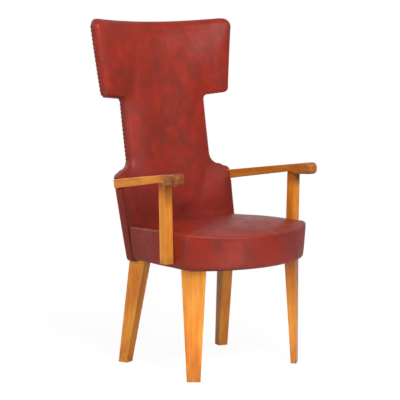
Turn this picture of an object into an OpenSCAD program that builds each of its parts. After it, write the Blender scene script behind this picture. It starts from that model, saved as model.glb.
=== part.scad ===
// High-backed fireside armchair with a T-shaped hollowed back and a bowed seat.
// Units are millimetres, +Z is up and the sitter faces -Y.
// The origin lies on the floor under the centre of the chair.

/* [Overall] */
// Height of the headrest's upper corners above the floor
chair_h = 1150; // [1110:5:1210]
// Height of the underside of the seat above the floor
seat_under_h = 363; // [345:1:385]
// Clearance between pieces that fit together
fit = 0.2; // [0.1:0.05:0.3]

/* [Seat] */
// Width of the seat at its lower edge
seat_w = 500; // [484:2:508]
// How far the straight sides run forward of the middle of the chair
seat_side_y = 190; // [180:1:202]
// How far the front bows out past the ends of the sides
seat_bow = 100; // [88:1:112]
// Radius of the front corners in plan
seat_corner_r = 14; // [8:1:20]
// How far the band leans out from its lower edge to its upper edge
seat_flare = 8; // [5:0.5:10]
// Height of the band at the back of the seat
seat_band_h = 94; // [88:1:104]
// Thickness of the padded leather band
band_t = 7; // [5:0.5:8]
// Height of the pad's upright edge above the band
seat_edge_h = 12; // [10:1:18]
// Rise of the band and the pad's edge from the back to the front
seat_edge_rise = 12; // [10:1:18]
// How far that edge falls again towards the middle of the front
seat_front_fall = 10; // [0:1:10]
// Radius between the pad's edge and its top
seat_edge_r = 10; // [7:1:12]
// Rise of the crowned top above the pad's edge
seat_crown = 10; // [6:1:16]
// Thickness of the seat rails
rail_t = 22; // [18:1:26]
// Height of the seat rails
rail_h = 66; // [58:1:72]

/* [Back] */
// Where the hollow front of the back stands at the seat's underside
back_foot_y = 152; // [146:1:160]
// Rake of the back at the seat in degrees
back_rake = 13.8; // [11:0.2:16]
// Radius of the curve that eases the rake towards the top
back_bend_r = 5260; // [4600:20:7000]
// Radius of the hollow of the back in plan
back_plan_r = 850; // [780:10:1200]
// Thickness of the back at its edges
back_t = 35; // [33:1:40]
// How far the back reaches below the seat's underside
back_drop = 13; // [9:1:18]
// Width of the back at its foot
back_foot_w = 466; // [454:2:474]
// Width of the back across the shoulders
shoulder_w = 488; // [482:2:496]
// How far the shoulders stand above the rear ends of the arms
shoulder_over_arm = 18; // [12:1:28]
// Rise of the shoulders towards the neck
shoulder_rise = 8; // [5:1:12]
// Radius of the shoulder tips
shoulder_tip_r = 20; // [14:1:24]
// Radius between the shoulders and the neck
shoulder_fillet_r = 38; // [28:1:44]
// Width of the neck
neck_w = 344; // [334:2:354]
// Height of the headrest from its underside at the neck to its upper corners
headrest_h = 264; // [250:2:274]
// Rise of the headrest's underside towards its ends
wing_rise = 6; // [3:1:10]
// Radius between the neck and the headrest's underside
wing_fillet_r = 16; // [10:1:22]
// Width of the headrest at its lower corners
wing_low_w = 536; // [526:2:546]
// Radius of the headrest's lower corners
wing_low_r = 20; // [14:1:26]
// Width of the headrest at its upper corners
wing_top_w = 586; // [574:2:600]
// Radius of the headrest's upper corners
wing_top_r = 30; // [20:1:40]
// Dip of the upper edge at the middle
top_dip = 11; // [6:1:16]
// Thickness of the back pad at its edges
pad_t = 9.5; // [9:0.5:11]
// Radius of the pad's front edges
pad_edge_r = 9; // [7:0.5:9]
// Rise of the pad's crown
pad_crown = 16; // [8:1:22]
// How far the crown reaches in from the edges
pad_reach = 90; // [60:5:120]
// Thickness of the leather returns and the outside back
leather_t = 2.4; // [1.8:0.1:3]

/* [Back frame] */
// Width of the back stiles
stile_w = 36; // [30:1:40]
// How far the outer face of a back stile stands from the middle
stile_x = 146; // [140:1:150]
// Height of the bottom rail
bottom_rail_h = 43; // [36:1:50]
// Height of the lumbar rail
lumbar_rail_h = 50; // [40:1:60]
// Height of the shoulder rails
shoulder_rail_h = 40; // [36:1:44]
// How far the shoulder rails lie below the shoulders
shoulder_rail_drop = 8; // [7:0.5:12]
// Height of the top rail
top_rail_h = 48; // [40:1:56]
// How far the top rail lies below the upper corners
top_rail_drop = 22; // [20:1:28]
// Height of the lower headrest rails
wing_rail_h = 40; // [34:1:46]
// How far the lower headrest rails lie above the headrest's underside
wing_rail_lift = 11; // [9:1:16]
// How far the headrest frame stays in from the lower corners
wing_frame_inset = 10; // [9:1:16]
// Width of the headrest end stiles
end_stile_w = 26; // [20:1:30]

/* [Front legs] */
// Width of a front leg at the seat
front_leg_w = 80; // [70:1:84]
// Width of a front leg at the floor
front_foot_w = 44; // [36:1:52]
// Thickness of a front leg at the seat
front_leg_t = 38; // [32:1:42]
// Thickness of a front leg at the floor
front_foot_t = 19; // [16:1:24]
// Angle by which the front legs face outwards in degrees
front_leg_turn = 40; // [34:1:46]
// Distance of the front legs' tops from the middle, across
front_leg_x = 211.5; // [204:0.5:214]
// Distance of the front legs' tops from the middle, forward
front_leg_y = 173; // [167:1:180]
// How far the outer face kicks out at the floor
front_leg_kick = 3.5; // [0:0.5:8]

/* [Rear legs] */
// Width of a rear leg at the seat
rear_leg_w = 37; // [32:1:42]
// Width of a rear leg at the floor
rear_foot_w = 34; // [28:1:38]
// Depth of a rear leg at the seat
rear_leg_d = 62; // [54:1:68]
// Depth of a rear leg at the floor
rear_foot_d = 33; // [28:1:40]
// Distance of the rear legs' tops from the middle, across
rear_leg_x = 187; // [182:1:190]
// Angle by which the rear legs follow the hollow of the back in degrees
rear_leg_turn = 18; // [12:1:22]
// How far a rear foot stands out beyond the leg's top
rear_leg_splay = 7.5; // [4:0.5:11]
// How far the foot stands behind the leg's top
rear_leg_rake = 59; // [50:1:70]

/* [Arms] */
// Distance of the arm's inner face from the middle at the back
arm_back_x = 231; // [227:0.5:233]
// Distance of the arm's inner face from the middle at the post
arm_post_x = 259; // [257:0.5:264]
// Distance of the arm's inner face from the middle at the hand end
arm_hand_x = 268; // [260:1:276]
// Width of the arm at the back
arm_back_w = 18; // [16:1:22]
// Width of the arm at the post
arm_post_w = 34; // [31:1:38]
// Width of the arm at the hand end
arm_hand_w = 38; // [34:1:44]
// Height of the arm's upper edge at the back
arm_back_h = 620; // [616:1:626]
// Thickness of the arm at the back
arm_back_t = 30; // [27:1:33]
// Thickness of the arm just behind the post
arm_post_t = 24; // [22:1:30]
// How far the arm's rear end stays in from the back's rear edge
arm_cover = 1.5; // [1:0.1:3]
// Rise of the arm's upper edge in degrees
arm_rise = 7.9; // [6.5:0.1:8.8]
// How far the arms reach forward of the middle of the chair
arm_reach = 201; // [194:1:214]
// How far the hand end drops below the top of the post
arm_step = 6; // [3:1:9]
// Radius of the hand end in side view
arm_nose_r = 19; // [14:1:21]

/* [Arm posts] */
// Width of a post at its foot
post_w = 31; // [28:1:34]
// Width of a post at the arm
post_top_w = 29; // [26:1:32]
// Depth of a post
post_d = 31; // [28:1:34]
// Distance of the posts from the middle of the chair, forward
post_y = 110; // [100:1:120]
// How far a post's foot lies above the seat's lower edge
post_foot_lift = 15; // [10:1:22]
// How far a post leans out over its height
post_lean = 6; // [3:0.5:8]

/* [Springs and webbing] */
// Width of a webbing strap
strap_w = 50; // [40:1:54]
// Thickness of a webbing strap
strap_t = 1.2; // [0.8:0.1:1.4]
// Distance between the seat's straps
strap_pitch = 92; // [84:1:98]
// How far the seat's middle strap stands forward of the middle of the chair
strap_mid_y = 20; // [12:1:28]
// How far the straps' ends stay in from the rails' outer faces
nail_margin = 7; // [4:1:10]
// Distance between the straps of the back
back_strap_pitch = 82; // [76:1:96]
// Largest radius of a seat spring
spring_r = 36; // [28:1:40]
// Waist radius of a seat spring
spring_waist_r = 22; // [16:1:26]
// Radius of the spring wire
wire_r = 1.6; // [1.2:0.1:2]

/* [Fixings] */
// Diameter of the bolts
bolt_d = 7; // [6:0.5:8]
// Diameter of the bolt heads
bolt_head_d = 13; // [11:0.5:15]
// Thickness of the bolt heads
bolt_head_t = 3; // [2:0.5:4]
// How deep the bolts reach into a leg
leg_bolt_depth = 40; // [30:1:44]
// How deep the bolts reach into a post
post_bolt_depth = 17; // [12:1:20]
// Diameter of the dowels
dowel_d = 8; // [6:0.5:10]
// Length of a dowel
dowel_l = 32; // [26:1:38]
// How deep a dowel reaches into the arm
dowel_depth = 10; // [8:0.5:11]
// Height of the corner blocks
block_h = 44; // [36:1:52]
// How far a corner block reaches in from the corner
block_reach = 74; // [64:1:84]
// Length of a corner block across the corner
block_l = 130; // [110:1:150]

/* [Cloth] */
// Thickness of the hessian over the springs
hessian_t = 1.4; // [1:0.1:2]
// Thickness of the dust cover
dust_t = 0.8; // [0.6:0.1:1.2]
// How far the dust cover stays in from the seat's lower edge
dust_inset = 14; // [10:1:20]

/* [Hidden] */

$fn = 48;
beech = "#d9893a";
beech_inside = "#e3b878";
leather = "#9c2f27";
steel = "#8d8f92";
hemp = "#b79b6d";
black_cloth = "#2c2a2a";

// One overrun serves every cut
overrun = 400;

// Seat outline, worked out from the sizes above
seat_x = seat_w / 2;
bow_r = (seat_x * seat_x + seat_bow * seat_bow) / (2 * seat_bow);
bow_y = bow_r - seat_side_y - seat_bow;
rear_gap = 5;
soft_gap = 0.8;
rail_out = band_t + fit;
rail_in = rail_out + rail_t;
rail_top_z = seat_under_h + rail_h;
band_top_z = seat_under_h + seat_band_h;

// Back outline, worked out from the sizes above
shoulder_h = arm_back_h + shoulder_over_arm;
wing_h = chair_h - headrest_h;
neck_h = wing_h - shoulder_h - shoulder_rise;
shoulder_fillet_share = 0.66;
wing_fillet_share = 0.3;
shoulder_fillet = min(shoulder_fillet_r, neck_h * shoulder_fillet_share);
wing_fillet = min(wing_fillet_r, neck_h * wing_fillet_share);
foot_x = back_foot_w / 2;
back_low_z = seat_under_h - back_drop;
shoulder_x = shoulder_w / 2;
neck_x = neck_w / 2;
wing_low_x = wing_low_w / 2;
wing_top_x = wing_top_w / 2;
foot_r = 12;
row_gap = 62;
inner_share = 0.75;
strap_front = pad_t + soft_gap / 2;
frame_front = strap_front + strap_t + fit;
frame_back = back_t - leather_t - 2 * fit;
low_stile_x = rear_leg_x - stile_w / 2;
shoulder_rail_top = shoulder_h - shoulder_rail_drop;
shoulder_rail_low = shoulder_rail_top - shoulder_rail_h;
top_rail_top = chair_h - top_rail_drop;
top_rail_low = top_rail_top - top_rail_h;
wing_rail_low = wing_h + wing_rail_lift;
end_stile_x = min(wing_low_x, wing_top_x) - wing_frame_inset;

// Arm and post, worked out from the sizes above
post_foot_z = seat_under_h + post_foot_lift;
post_touch_share = 0.38;
post_foot_x = seat_x + seat_flare + fit + post_w / 2 - post_lean * post_touch_share;
post_top_x = post_foot_x + post_lean;
arm_back_y = arm_end(arm_back_h);
post_back_y = -post_y + post_d / 2;
post_top_z = arm_top(post_back_y) - arm_post_t;
hand_low_z = post_top_z - arm_step;

// The whole chair is moved so that its box is centred over the origin
front_most = seat_side_y + seat_bow + seat_flare;
back_most = back_y(0, chair_h - top_dip) + back_t;
shift_y = (front_most - back_most) / 2;

// How far the hollow back comes forward at x
function back_sag(x) = back_plan_r - sqrt(back_plan_r * back_plan_r - x * x);

// Front face of the back along its middle line
function back_line(z) = back_foot_y + (z - seat_under_h) * tan(back_rake)
    - (z - seat_under_h) * (z - seat_under_h) / (2 * back_bend_r);

// Front face of the back before its padding swells
function back_y(x, z) = back_line(z) - back_sag(x);

// Rear end of the arm, which follows the slope of the back's rear edge
function arm_end(z) = back_y(arm_back_x + arm_back_w / 2, z) + frame_back - arm_cover;

// Height of the arm's upper edge
function arm_top(y) = arm_back_h + (arm_back_y - y) * tan(arm_rise);

function arc(cx, cy, r, a0, a1, n) =
    [for (i = [0:n]) [cx + r * cos(a0 + (a1 - a0) * i / n), cy + r * sin(a0 + (a1 - a0) * i / n)]];

// Right half of the back's outline, from the foot up to the top corner
function half_outline(n) = concat(
    arc(foot_x - foot_r, back_low_z + foot_r, foot_r, -90, 0, n),
    arc(shoulder_x - shoulder_tip_r, shoulder_h - shoulder_tip_r, shoulder_tip_r, 0, 90, n),
    arc(neck_x + shoulder_fillet, shoulder_h + shoulder_rise + shoulder_fillet,
        shoulder_fillet, -90, -180, n),
    arc(neck_x + wing_fillet, wing_h - wing_fillet, wing_fillet, 180, 90, n),
    arc(wing_low_x - wing_low_r, wing_h + wing_rise + wing_low_r, wing_low_r, -90, 0, n),
    arc(wing_top_x - wing_top_r, chair_h - wing_top_r, wing_top_r, 0, 90, n));

// The same line with extra points along its long straight stretches
function filled(line) = concat(
    [for (i = [0:len(line) - 2])
        let (n = max(1, ceil((line[i + 1][1] - line[i][1]) / row_gap)))
        for (k = [0:n - 1]) line[i] + (line[i + 1] - line[i]) * k / n],
    [line[len(line) - 1]]);

function seg_dist(p, a, b) =
    let (t = max(0, min(1, (p - a) * (b - a) / ((b - a) * (b - a)))))
    norm(p - a - t * (b - a));

function edge_dist(p, line) = min([for (i = [0:len(line) - 2]) seg_dist(p, line[i], line[i + 1])]);

closed_line = concat([[0, back_low_z]], half_outline(4), [[0, chair_h]]);

// Height as built: the headrest's rows dip towards the middle
function dipped(x, z) =
    let (s = max(0, z - wing_h) / (chair_h - wing_h))
    z - top_dip * s * s * (1 - x * x / pow(wing_top_x - wing_top_r, 2));

// The pad's front face: rounded at the edges and crowned inside them
function pad_lip(d) = pad_edge_r
    - sqrt(pad_edge_r * pad_edge_r - pow(pad_edge_r - min(d, pad_edge_r), 2));
function pad_swell(d) = pad_crown * (1 - pow(1 - min(d, pad_reach) / pad_reach, 2));
function pad_front(x, z) =
    let (d = edge_dist([abs(x), z], closed_line))
    back_y(x, dipped(x, z)) + pad_lip(d) - pad_swell(d);

// Side walls between rings of n points, stacked from the first ring to the last
function ring_faces(rings, n) = [for (r = [0:rings - 2]) for (i = [0:n - 1])
    let (a = r * n + i, b = r * n + (i + 1) % n)
    each [[a, b, b + n], [a, b + n, a + n]]];

// Triangles across a ring of paired front and rear points
function pair_cap(start, n, flip) = [for (i = [0:n / 2 - 2])
    let (a = start + i, b = start + i + 1, c = start + n - 2 - i, d = start + n - 1 - i)
    each (flip ? [[a, c, b], [a, d, c]] : [[a, b, c], [a, c, d]])];

// Board sawn to the double curve of the back
module back_board(x0, x1, z0, z1, y0, y1, nx, nz) {
    n = 2 * (nx + 1);
    points = [for (r = [0:nz])
        let (z = z0 + (z1 - z0) * r / nz)
        each concat(
            [for (i = [0:nx]) let (x = x0 + (x1 - x0) * i / nx) [x, back_y(x, z) + y0, z]],
            [for (i = [nx:-1:0]) let (x = x0 + (x1 - x0) * i / nx) [x, back_y(x, z) + y1, z]])];
    polyhedron(points, concat(
        [for (f = ring_faces(nz + 1, n)) [f[2], f[1], f[0]]],
        pair_cap(0, n, false), pair_cap(nz * n, n, true)));
}

module placed() {
    translate([0, shift_y, 0]) children();
}

module on_side(side) {
    if (side < 0) mirror([1, 0, 0]) children();
    else children();
}

// Straight bar of rectangular section that tapers both ways from its foot to its head
module tapered_bar(foot_x0, foot_x1, head_x0, head_x1, foot_y0, foot_y1, head_y0, head_y1, h) {
    intersection() {
        rotate([90, 0, 0])
            linear_extrude(overrun, center = true)
                polygon([[foot_x0, 0], [foot_x1, 0], [head_x1, h], [head_x0, h]]);
        rotate([90, 0, 90])
            linear_extrude(overrun, center = true)
                polygon([[foot_y0, 0], [foot_y1, 0], [head_y1, h], [head_y0, h]]);
    }
}

// Seat plan, drawn in from the lower edge by an inset
module seat_plan(inset) {
    intersection() {
        translate([-(seat_x - inset), -overrun])
            square([2 * (seat_x - inset), 2 * overrun]);
        translate([0, bow_y])
            circle(r = bow_r - inset, $fn = 160);
        translate([0, back_foot_y - rear_gap - back_plan_r])
            circle(r = back_plan_r, $fn = 160);
    }
}

module seat_plate(inset, z, t) {
    translate([0, 0, z]) linear_extrude(t) seat_plan(inset);
}

// Front legs

module front_leg_head_hole() {
    translate([front_bolt_x, -front_bolt_y, seat_under_h - leg_bolt_depth - fit])
        cylinder(d = bolt_d + fit, h = overrun);
}

front_bolt_inset = 7;
front_bolt_x = front_leg_x - front_bolt_inset * sin(front_leg_turn);
front_bolt_y = front_leg_y - front_bolt_inset * cos(front_leg_turn);

module front_leg(side) {
    outer = -front_leg_t / 2;
    color(beech) placed() on_side(side) difference() {
        translate([front_leg_x, -front_leg_y, 0])
            rotate(front_leg_turn)
                tapered_bar(
                    -front_foot_w / 2, front_foot_w / 2, -front_leg_w / 2, front_leg_w / 2,
                    outer - front_leg_kick, outer - front_leg_kick + front_foot_t,
                    outer, -outer, seat_under_h - fit);
        front_leg_head_hole();
    }
}

// Rear legs, which run on up inside the back as its lower stiles

rear_leg_y = back_y(rear_leg_x, seat_under_h) + back_t - rear_leg_d / 2;
rear_bolt_inset = 7;
rear_bolt_y = back_y(rear_leg_x, seat_under_h) - rear_gap - rear_bolt_inset;

module rear_leg(side) {
    color(beech) placed() on_side(side) difference() {
        union() {
            difference() {
                translate([rear_leg_x, rear_leg_y, 0])
                    rotate(-rear_leg_turn)
                        tapered_bar(
                            rear_leg_splay - rear_foot_w / 2, rear_leg_splay + rear_foot_w / 2,
                            -rear_leg_w / 2, rear_leg_w / 2,
                            rear_leg_rake - rear_foot_d / 2, rear_leg_rake + rear_foot_d / 2,
                            -rear_leg_d / 2, rear_leg_d / 2, seat_under_h - fit);
                // The back stands on this step
                translate([0, 0, back_low_z - fit])
                    linear_extrude(overrun) difference() {
                        square(overrun);
                        translate([0, back_foot_y - rear_gap / 2 - back_plan_r])
                            circle(r = back_plan_r, $fn = 160);
                    }
            }
            back_board(low_stile_x, low_stile_x + stile_w, back_low_z - 2 * fit,
                shoulder_rail_low - fit, frame_front, frame_back, 2, 5);
        }
        translate([rear_leg_x, rear_bolt_y, seat_under_h - leg_bolt_depth - fit])
            cylinder(d = bolt_d + fit, h = leg_bolt_depth + leather_t);
    }
}

// Arms

function arm_in(y) = y > -post_y
    ? arm_back_x + (arm_post_x - arm_back_x) * (arm_back_y - y) / (arm_back_y + post_y)
    : arm_post_x + (arm_hand_x - arm_post_x) * (-post_y - y) / (arm_reach - post_y);

module arm_side_view() {
    nose_y = -arm_reach + arm_nose_r;
    nose_top = arm_top(nose_y);
    nose_z = nose_top - arm_nose_r * (1 + tan(arm_rise / 2));
    polygon(concat(
        [[arm_back_y, arm_back_h], [arm_end(arm_back_h - arm_back_t), arm_back_h - arm_back_t]],
        [[post_back_y, post_top_z], [-post_y - post_d / 2 - fit, post_top_z]],
        [[-post_y - post_d / 2 - fit, hand_low_z]],
        arc(nose_y, nose_z, arm_nose_r, 270 - arm_rise / 2, 90 + arm_rise, 14)));
}

module arm_plan() {
    tip_r = arm_hand_w * tip_share;
    hand_x = arm_hand_x + arm_hand_w;
    polygon(concat(
        [[arm_back_x, arm_back_y], [arm_post_x, -post_y]],
        arc(arm_hand_x + tip_r, -arm_reach + tip_r, tip_r, 180, 270, 6),
        arc(hand_x - tip_r, -arm_reach + tip_r, tip_r, 270, 360, 6),
        [[arm_post_x + arm_post_w, -post_y], [arm_back_x + arm_back_w, arm_back_y]]));
}

tip_share = 0.4;

module arm(side) {
    color(beech) placed() on_side(side) difference() {
        intersection() {
            rotate([90, 0, 90]) linear_extrude(overrun) arm_side_view();
            linear_extrude(2 * overrun) arm_plan();
        }
        arm_dowel_holes();
    }
}

// Where the arm is let into the side of the back
module arm_housing() {
    low = arm_back_h - arm_back_t - soft_gap;
    high = arm_top(back_y(arm_back_x, arm_back_h)) + soft_gap;
    translate([arm_back_x - fit, -overrun, low])
        cube([overrun, 3 * overrun, high - low]);
}

// Arm posts, fixed against the band

module arm_post(side) {
    h = post_top_z - fit - post_foot_z;
    color(beech) placed() on_side(side) difference() {
        translate([post_foot_x, -post_y, post_foot_z])
            tapered_bar(
                -post_w / 2, post_w / 2,
                post_lean - post_top_w / 2, post_lean + post_top_w / 2,
                -post_d / 2, post_d / 2, -post_d / 2, post_d / 2, h);
        post_bolt_holes();
        arm_dowel_holes();
    }
}

// Seat frame

module seat_front_rail() {
    color(beech_inside) placed() difference() {
        seat_plate(rail_out, seat_under_h, rail_h);
        seat_plate(rail_in, seat_under_h - rail_h / 2, 2 * rail_h);
        translate([-overrun, -seat_side_y, 0])
            cube([2 * overrun, 2 * overrun, overrun + rail_top_z]);
    }
}

module side_rail(side) {
    x = seat_x - rail_in;
    color(beech_inside) placed() on_side(side) difference() {
        intersection() {
            seat_plate(rail_out, seat_under_h, rail_h);
            translate([x, -seat_side_y + fit, 0])
                cube([rail_t, 2 * overrun, overrun + rail_top_z]);
        }
        post_bolt_holes();
    }
}

module seat_rear_rail() {
    color(beech_inside) placed() difference() {
        intersection() {
            seat_plate(rail_in + fit, seat_under_h, rail_h);
            translate([-overrun, 0, 0])
                cube([2 * overrun, overrun, overrun + rail_top_z]);
        }
        translate([0, back_foot_y - rear_gap - back_plan_r, 0])
            cylinder(r = back_plan_r - rail_t, h = overrun + rail_top_z, $fn = 160);
        for (side = [-1, 1]) translate([side * rear_leg_x, rear_bolt_y, 0]) {
            cylinder(d = bolt_d + fit, h = overrun + rail_top_z);
            translate([0, 0, rail_top_z - bolt_head_t])
                cylinder(d = bolt_head_d + fit, h = overrun);
        }
    }
}

// Blocks glued into the corners of the frame
module corner_block(side, front) {
    x = seat_x - rail_in;
    y = front ? -sqrt(pow(bow_r - rail_in, 2) - x * x) + bow_y : rear_block_y;
    turn = front ? front_leg_turn : -45;
    color(beech_inside) placed() on_side(side) difference() {
        intersection() {
            seat_plate(rail_in + fit, seat_under_h, block_h);
            translate([x, y, 0])
                rotate(turn)
                    translate([-block_l / 2, -block_reach / 2, 0])
                        cube([block_l, block_reach, overrun + rail_top_z]);
            translate([0, front ? -overrun : 0, 0])
                cube([overrun, overrun, overrun + rail_top_z]);
            if (!front)
                translate([0, back_foot_y - rear_gap - back_plan_r, 0])
                    cylinder(r = back_plan_r - rail_t - fit, h = overrun + rail_top_z, $fn = 160);
        }
        if (front) front_leg_head_hole();
    }
}

rear_block_y = back_y(seat_x - rail_in, seat_under_h) - rear_gap - rail_t;

// Seat suspension

strap_rows = [-1, 0, 1];

module seat_webbing() {
    low = seat_under_h - 2 * fit - 2 * strap_t;
    color(hemp) placed() {
        for (i = strap_rows) intersection() {
            seat_plate(rail_out + nail_margin, low, strap_t);
            translate([i * strap_pitch - strap_w / 2, -overrun, low - strap_t])
                cube([strap_w, 2 * overrun, 3 * strap_t]);
        }
        for (i = strap_rows) intersection() {
            seat_plate(rail_out + nail_margin, low + strap_t + fit, strap_t);
            translate([-overrun, i * strap_pitch - strap_mid_y - strap_w / 2, low])
                cube([2 * overrun, strap_w, 3 * strap_t]);
        }
    }
}

// Points around a wire of six sides that follows a waisted helix
module coil_spring(h) {
    turns = 4;
    steps = 8;
    sides = 6;
    n = turns * steps;
    climb = h - 2 * wire_r;
    points = [for (k = [0:n])
        let (a = 360 * k / steps)
        let (u = 2 * k / n - 1)
        let (r = spring_waist_r + (spring_r - spring_waist_r) * u * u)
        for (s = [0:sides - 1])
            let (b = 360 * s / sides)
            [(r + wire_r * cos(b)) * cos(a), (r + wire_r * cos(b)) * sin(a),
                wire_r + climb * k / n + wire_r * sin(b)]];
    polyhedron(points, concat(
        ring_faces(n + 1, sides),
        [[for (s = [sides - 1:-1:0]) s], [for (s = [0:sides - 1]) n * sides + s]]));
}

module seat_springs() {
    h = rail_h - 2 * fit;
    color(steel) placed() for (p = [[-1, -1], [1, -1], [0, 0], [-1, 1], [1, 1]])
        translate([p[0] * strap_pitch, p[1] * strap_pitch - strap_mid_y, seat_under_h + fit])
            coil_spring(h);
}

module spring_hessian() {
    color(hemp) placed() seat_plate(rail_out + nail_margin, rail_top_z + fit, hessian_t);
}

module seat_stuffing() {
    z = rail_top_z + 2 * fit + hessian_t;
    color(hemp) placed() seat_plate(rail_out, z, band_top_z - fit - z);
}

module dust_cover() {
    z = seat_under_h - 3 * fit - 2 * strap_t - dust_t;
    color(black_cloth) placed() difference() {
        seat_plate(dust_inset, z, dust_t);
        for (side = [-1, 1]) on_side(side) {
            translate([front_leg_x, -front_leg_y, 0])
                rotate(front_leg_turn)
                    translate([-front_leg_w / 2 - fit, -front_leg_t / 2 - leather_t, 0])
                        cube([front_leg_w + 2 * fit, front_leg_t + 2 * leather_t, overrun]);
            translate([rear_leg_x, rear_leg_y, 0])
                rotate(-rear_leg_turn)
                    translate([-rear_leg_w / 2 - fit, -rear_leg_d / 2 - leather_t, 0])
                        cube([rear_leg_w + 2 * fit, overrun, overrun]);
        }
    }
}

// Seat upholstery

// Points of the seat's outline, from the rear of the left side round the front to the right
bow_steps = 18;
function seat_edge(grow, z, rear) =
    let (hx = seat_x + grow, r = bow_r + grow, cr = seat_corner_r)
    let (cy = bow_y - sqrt(pow(r - cr, 2) - pow(hx - cr, 2)))
    let (a = 180 + atan((bow_y - cy) / (hx - cr)))
    let (back = back_y(hx, z) - rear)
    concat(
        [for (i = [0:3]) [-hx, back + (cy - back) * i / 4]],
        arc(-hx + cr, cy, cr, 180, a, 3),
        [for (i = [1:bow_steps - 1]) let (t = a + (540 - 2 * a) * i / bow_steps)
            [r * cos(t), bow_y + r * sin(t)]],
        arc(hx - cr, cy, cr, 540 - a, 360, 3),
        [for (i = [3:-1:0]) [hx, back + (cy - back) * i / 4]]);

// How far the band and the pad's edge have risen at y
function seat_rise(y) =
    seat_edge_rise * sin(max(0, min(90, 90 * (back_foot_y - y) / (back_foot_y + seat_side_y))))
    - seat_front_fall * max(0, min(1, (-seat_side_y - y) / seat_bow));

module seat_band() {
    outer_low = seat_edge(0, seat_under_h, rear_gap);
    outer_top = seat_edge(seat_flare, seat_under_h, rear_gap);
    inner = seat_edge(-band_t, seat_under_h, rear_gap);
    n = len(outer_low);
    z0 = seat_under_h;
    z1 = band_top_z;
    points = [for (i = [0:n - 1]) let (top = z1 + seat_rise(outer_top[i][1])) each [
        [outer_low[i][0], outer_low[i][1], z0], [outer_top[i][0], outer_top[i][1], top],
        [inner[i][0], inner[i][1], top], [inner[i][0], inner[i][1], z0]]];
    color(leather) placed() difference() {
        polyhedron(points, concat(
            ring_faces(n, 4),
            [[2, 1, 0], [3, 2, 0]],
            [[4 * n - 4, 4 * n - 3, 4 * n - 2], [4 * n - 4, 4 * n - 2, 4 * n - 1]]));
        for (side = [-1, 1]) on_side(side) post_bolt_holes();
    }
}

// Rows of the seat pad: how far in from the edge, and how high on the crown, as shares
crown_shares = [[0.12, 0.26], [0.28, 0.55], [0.5, 0.81], [0.75, 0.96]];

module seat_pad() {
    z0 = band_top_z + fit;
    mid_y = -seat_side_y / 2;
    rear_n = 12;
    turns = [0, 30, 60, 90];
    grows = concat([seat_flare], [for (a = turns) seat_flare - seat_edge_r * (1 - cos(a))]);
    lifts = concat([0], [for (a = turns) seat_edge_h - seat_edge_r * (1 - sin(a))]);
    base = grows[len(grows) - 1];
    function rear_limit(x, z) = min(back_y(x, z) - rear_gap,
        abs(x) < foot_x ? pad_front(x, z) - 2 * soft_gap : overrun);
    // Outline of the pad at one row, with its heights
    function whole(grow, lift) =
        let (e = seat_edge(grow, z0 + lift, rear_gap + soft_gap), hx = seat_x + grow)
        let (ring = concat(e, [for (i = [1:rear_n - 1])
            let (x = hx - 2 * hx * i / rear_n) [x, rear_limit(x, z0 + lift)]]))
        [for (p = ring) [p[0], p[1], z0 + lift + seat_rise(p[1])]];
    outer = [for (i = [0:len(grows) - 1]) whole(grows[i], lifts[i])];
    edge = whole(base, seat_edge_h);
    peak = [0, mid_y, z0 + seat_edge_h + seat_rise(mid_y) + seat_crown];
    inner = [for (s = crown_shares) [for (p = edge)
        [p[0] * (1 - s[0]), mid_y + (p[1] - mid_y) * (1 - s[0]),
            p[2] + (peak[2] - p[2]) * s[1]]]];
    rings = concat(outer, inner);
    n = len(rings[0]);
    top = len(rings) * n;
    points = concat([for (r = rings) each r], [peak, [0, mid_y, z0]]);
    color(leather) placed() polyhedron(points, concat(
        [for (f = ring_faces(len(rings), n)) [f[2], f[1], f[0]]],
        [for (i = [0:n - 1]) each [
            [top, top - n + (i + 1) % n, top - n + i], [top + 1, i, (i + 1) % n]]]));
}

// Back frame

module back_stile(side) {
    color(beech_inside) placed() on_side(side)
        back_board(stile_x - stile_w, stile_x, back_low_z + bottom_rail_h + fit,
            top_rail_low - fit, frame_front, frame_back, 2, 12);
}

module back_bottom_rail() {
    x = low_stile_x - fit;
    color(beech_inside) placed()
        back_board(-x, x, back_low_z, back_low_z + bottom_rail_h, frame_front, frame_back, 10, 1);
}

module back_lumbar_rail() {
    x = stile_x - stile_w - fit;
    top = shoulder_rail_top - shoulder_rail_drop;
    color(beech_inside) placed()
        back_board(-x, x, top - lumbar_rail_h, top, frame_front, frame_back, 8, 1);
}

module shoulder_rail(side) {
    color(beech_inside) placed() on_side(side) difference() {
        back_board(stile_x + fit, arm_back_x - fit, shoulder_rail_low, shoulder_rail_top,
            frame_front, frame_back, 4, 1);
        arm_dowel_holes();
    }
}

module headrest_top_rail() {
    x = end_stile_x;
    color(beech_inside) placed()
        back_board(-x, x, top_rail_low, top_rail_top, frame_front, frame_back, 16, 1);
}

module headrest_low_rail(side) {
    color(beech_inside) placed() on_side(side)
        back_board(stile_x + fit, end_stile_x - end_stile_w - fit, wing_rail_low,
            wing_rail_low + wing_rail_h, frame_front, frame_back, 4, 1);
}

module headrest_end_stile(side) {
    color(beech_inside) placed() on_side(side)
        back_board(end_stile_x - end_stile_w, end_stile_x, wing_rail_low,
            top_rail_low - fit, frame_front, frame_back, 2, 4);
}

module back_webbing() {
    first = back_low_z + bottom_rail_h + strap_w / 2;
    room = top_rail_low - strap_w - first;
    count = floor(room / back_strap_pitch);
    color(hemp) placed() for (i = [0:count])
        back_board(-stile_x, stile_x, first + i * back_strap_pitch,
            first + i * back_strap_pitch + strap_w, strap_front, strap_front + strap_t, 8, 1);
}

// Back upholstery

// Columns across half a row of the back
function half_columns(w, edge) = let (x = neck_x * inner_share) concat(
    [for (k = [1:4]) x * k / 4],
    [for (k = [1:3]) x + (w - edge - x) * k / 3]);

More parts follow.
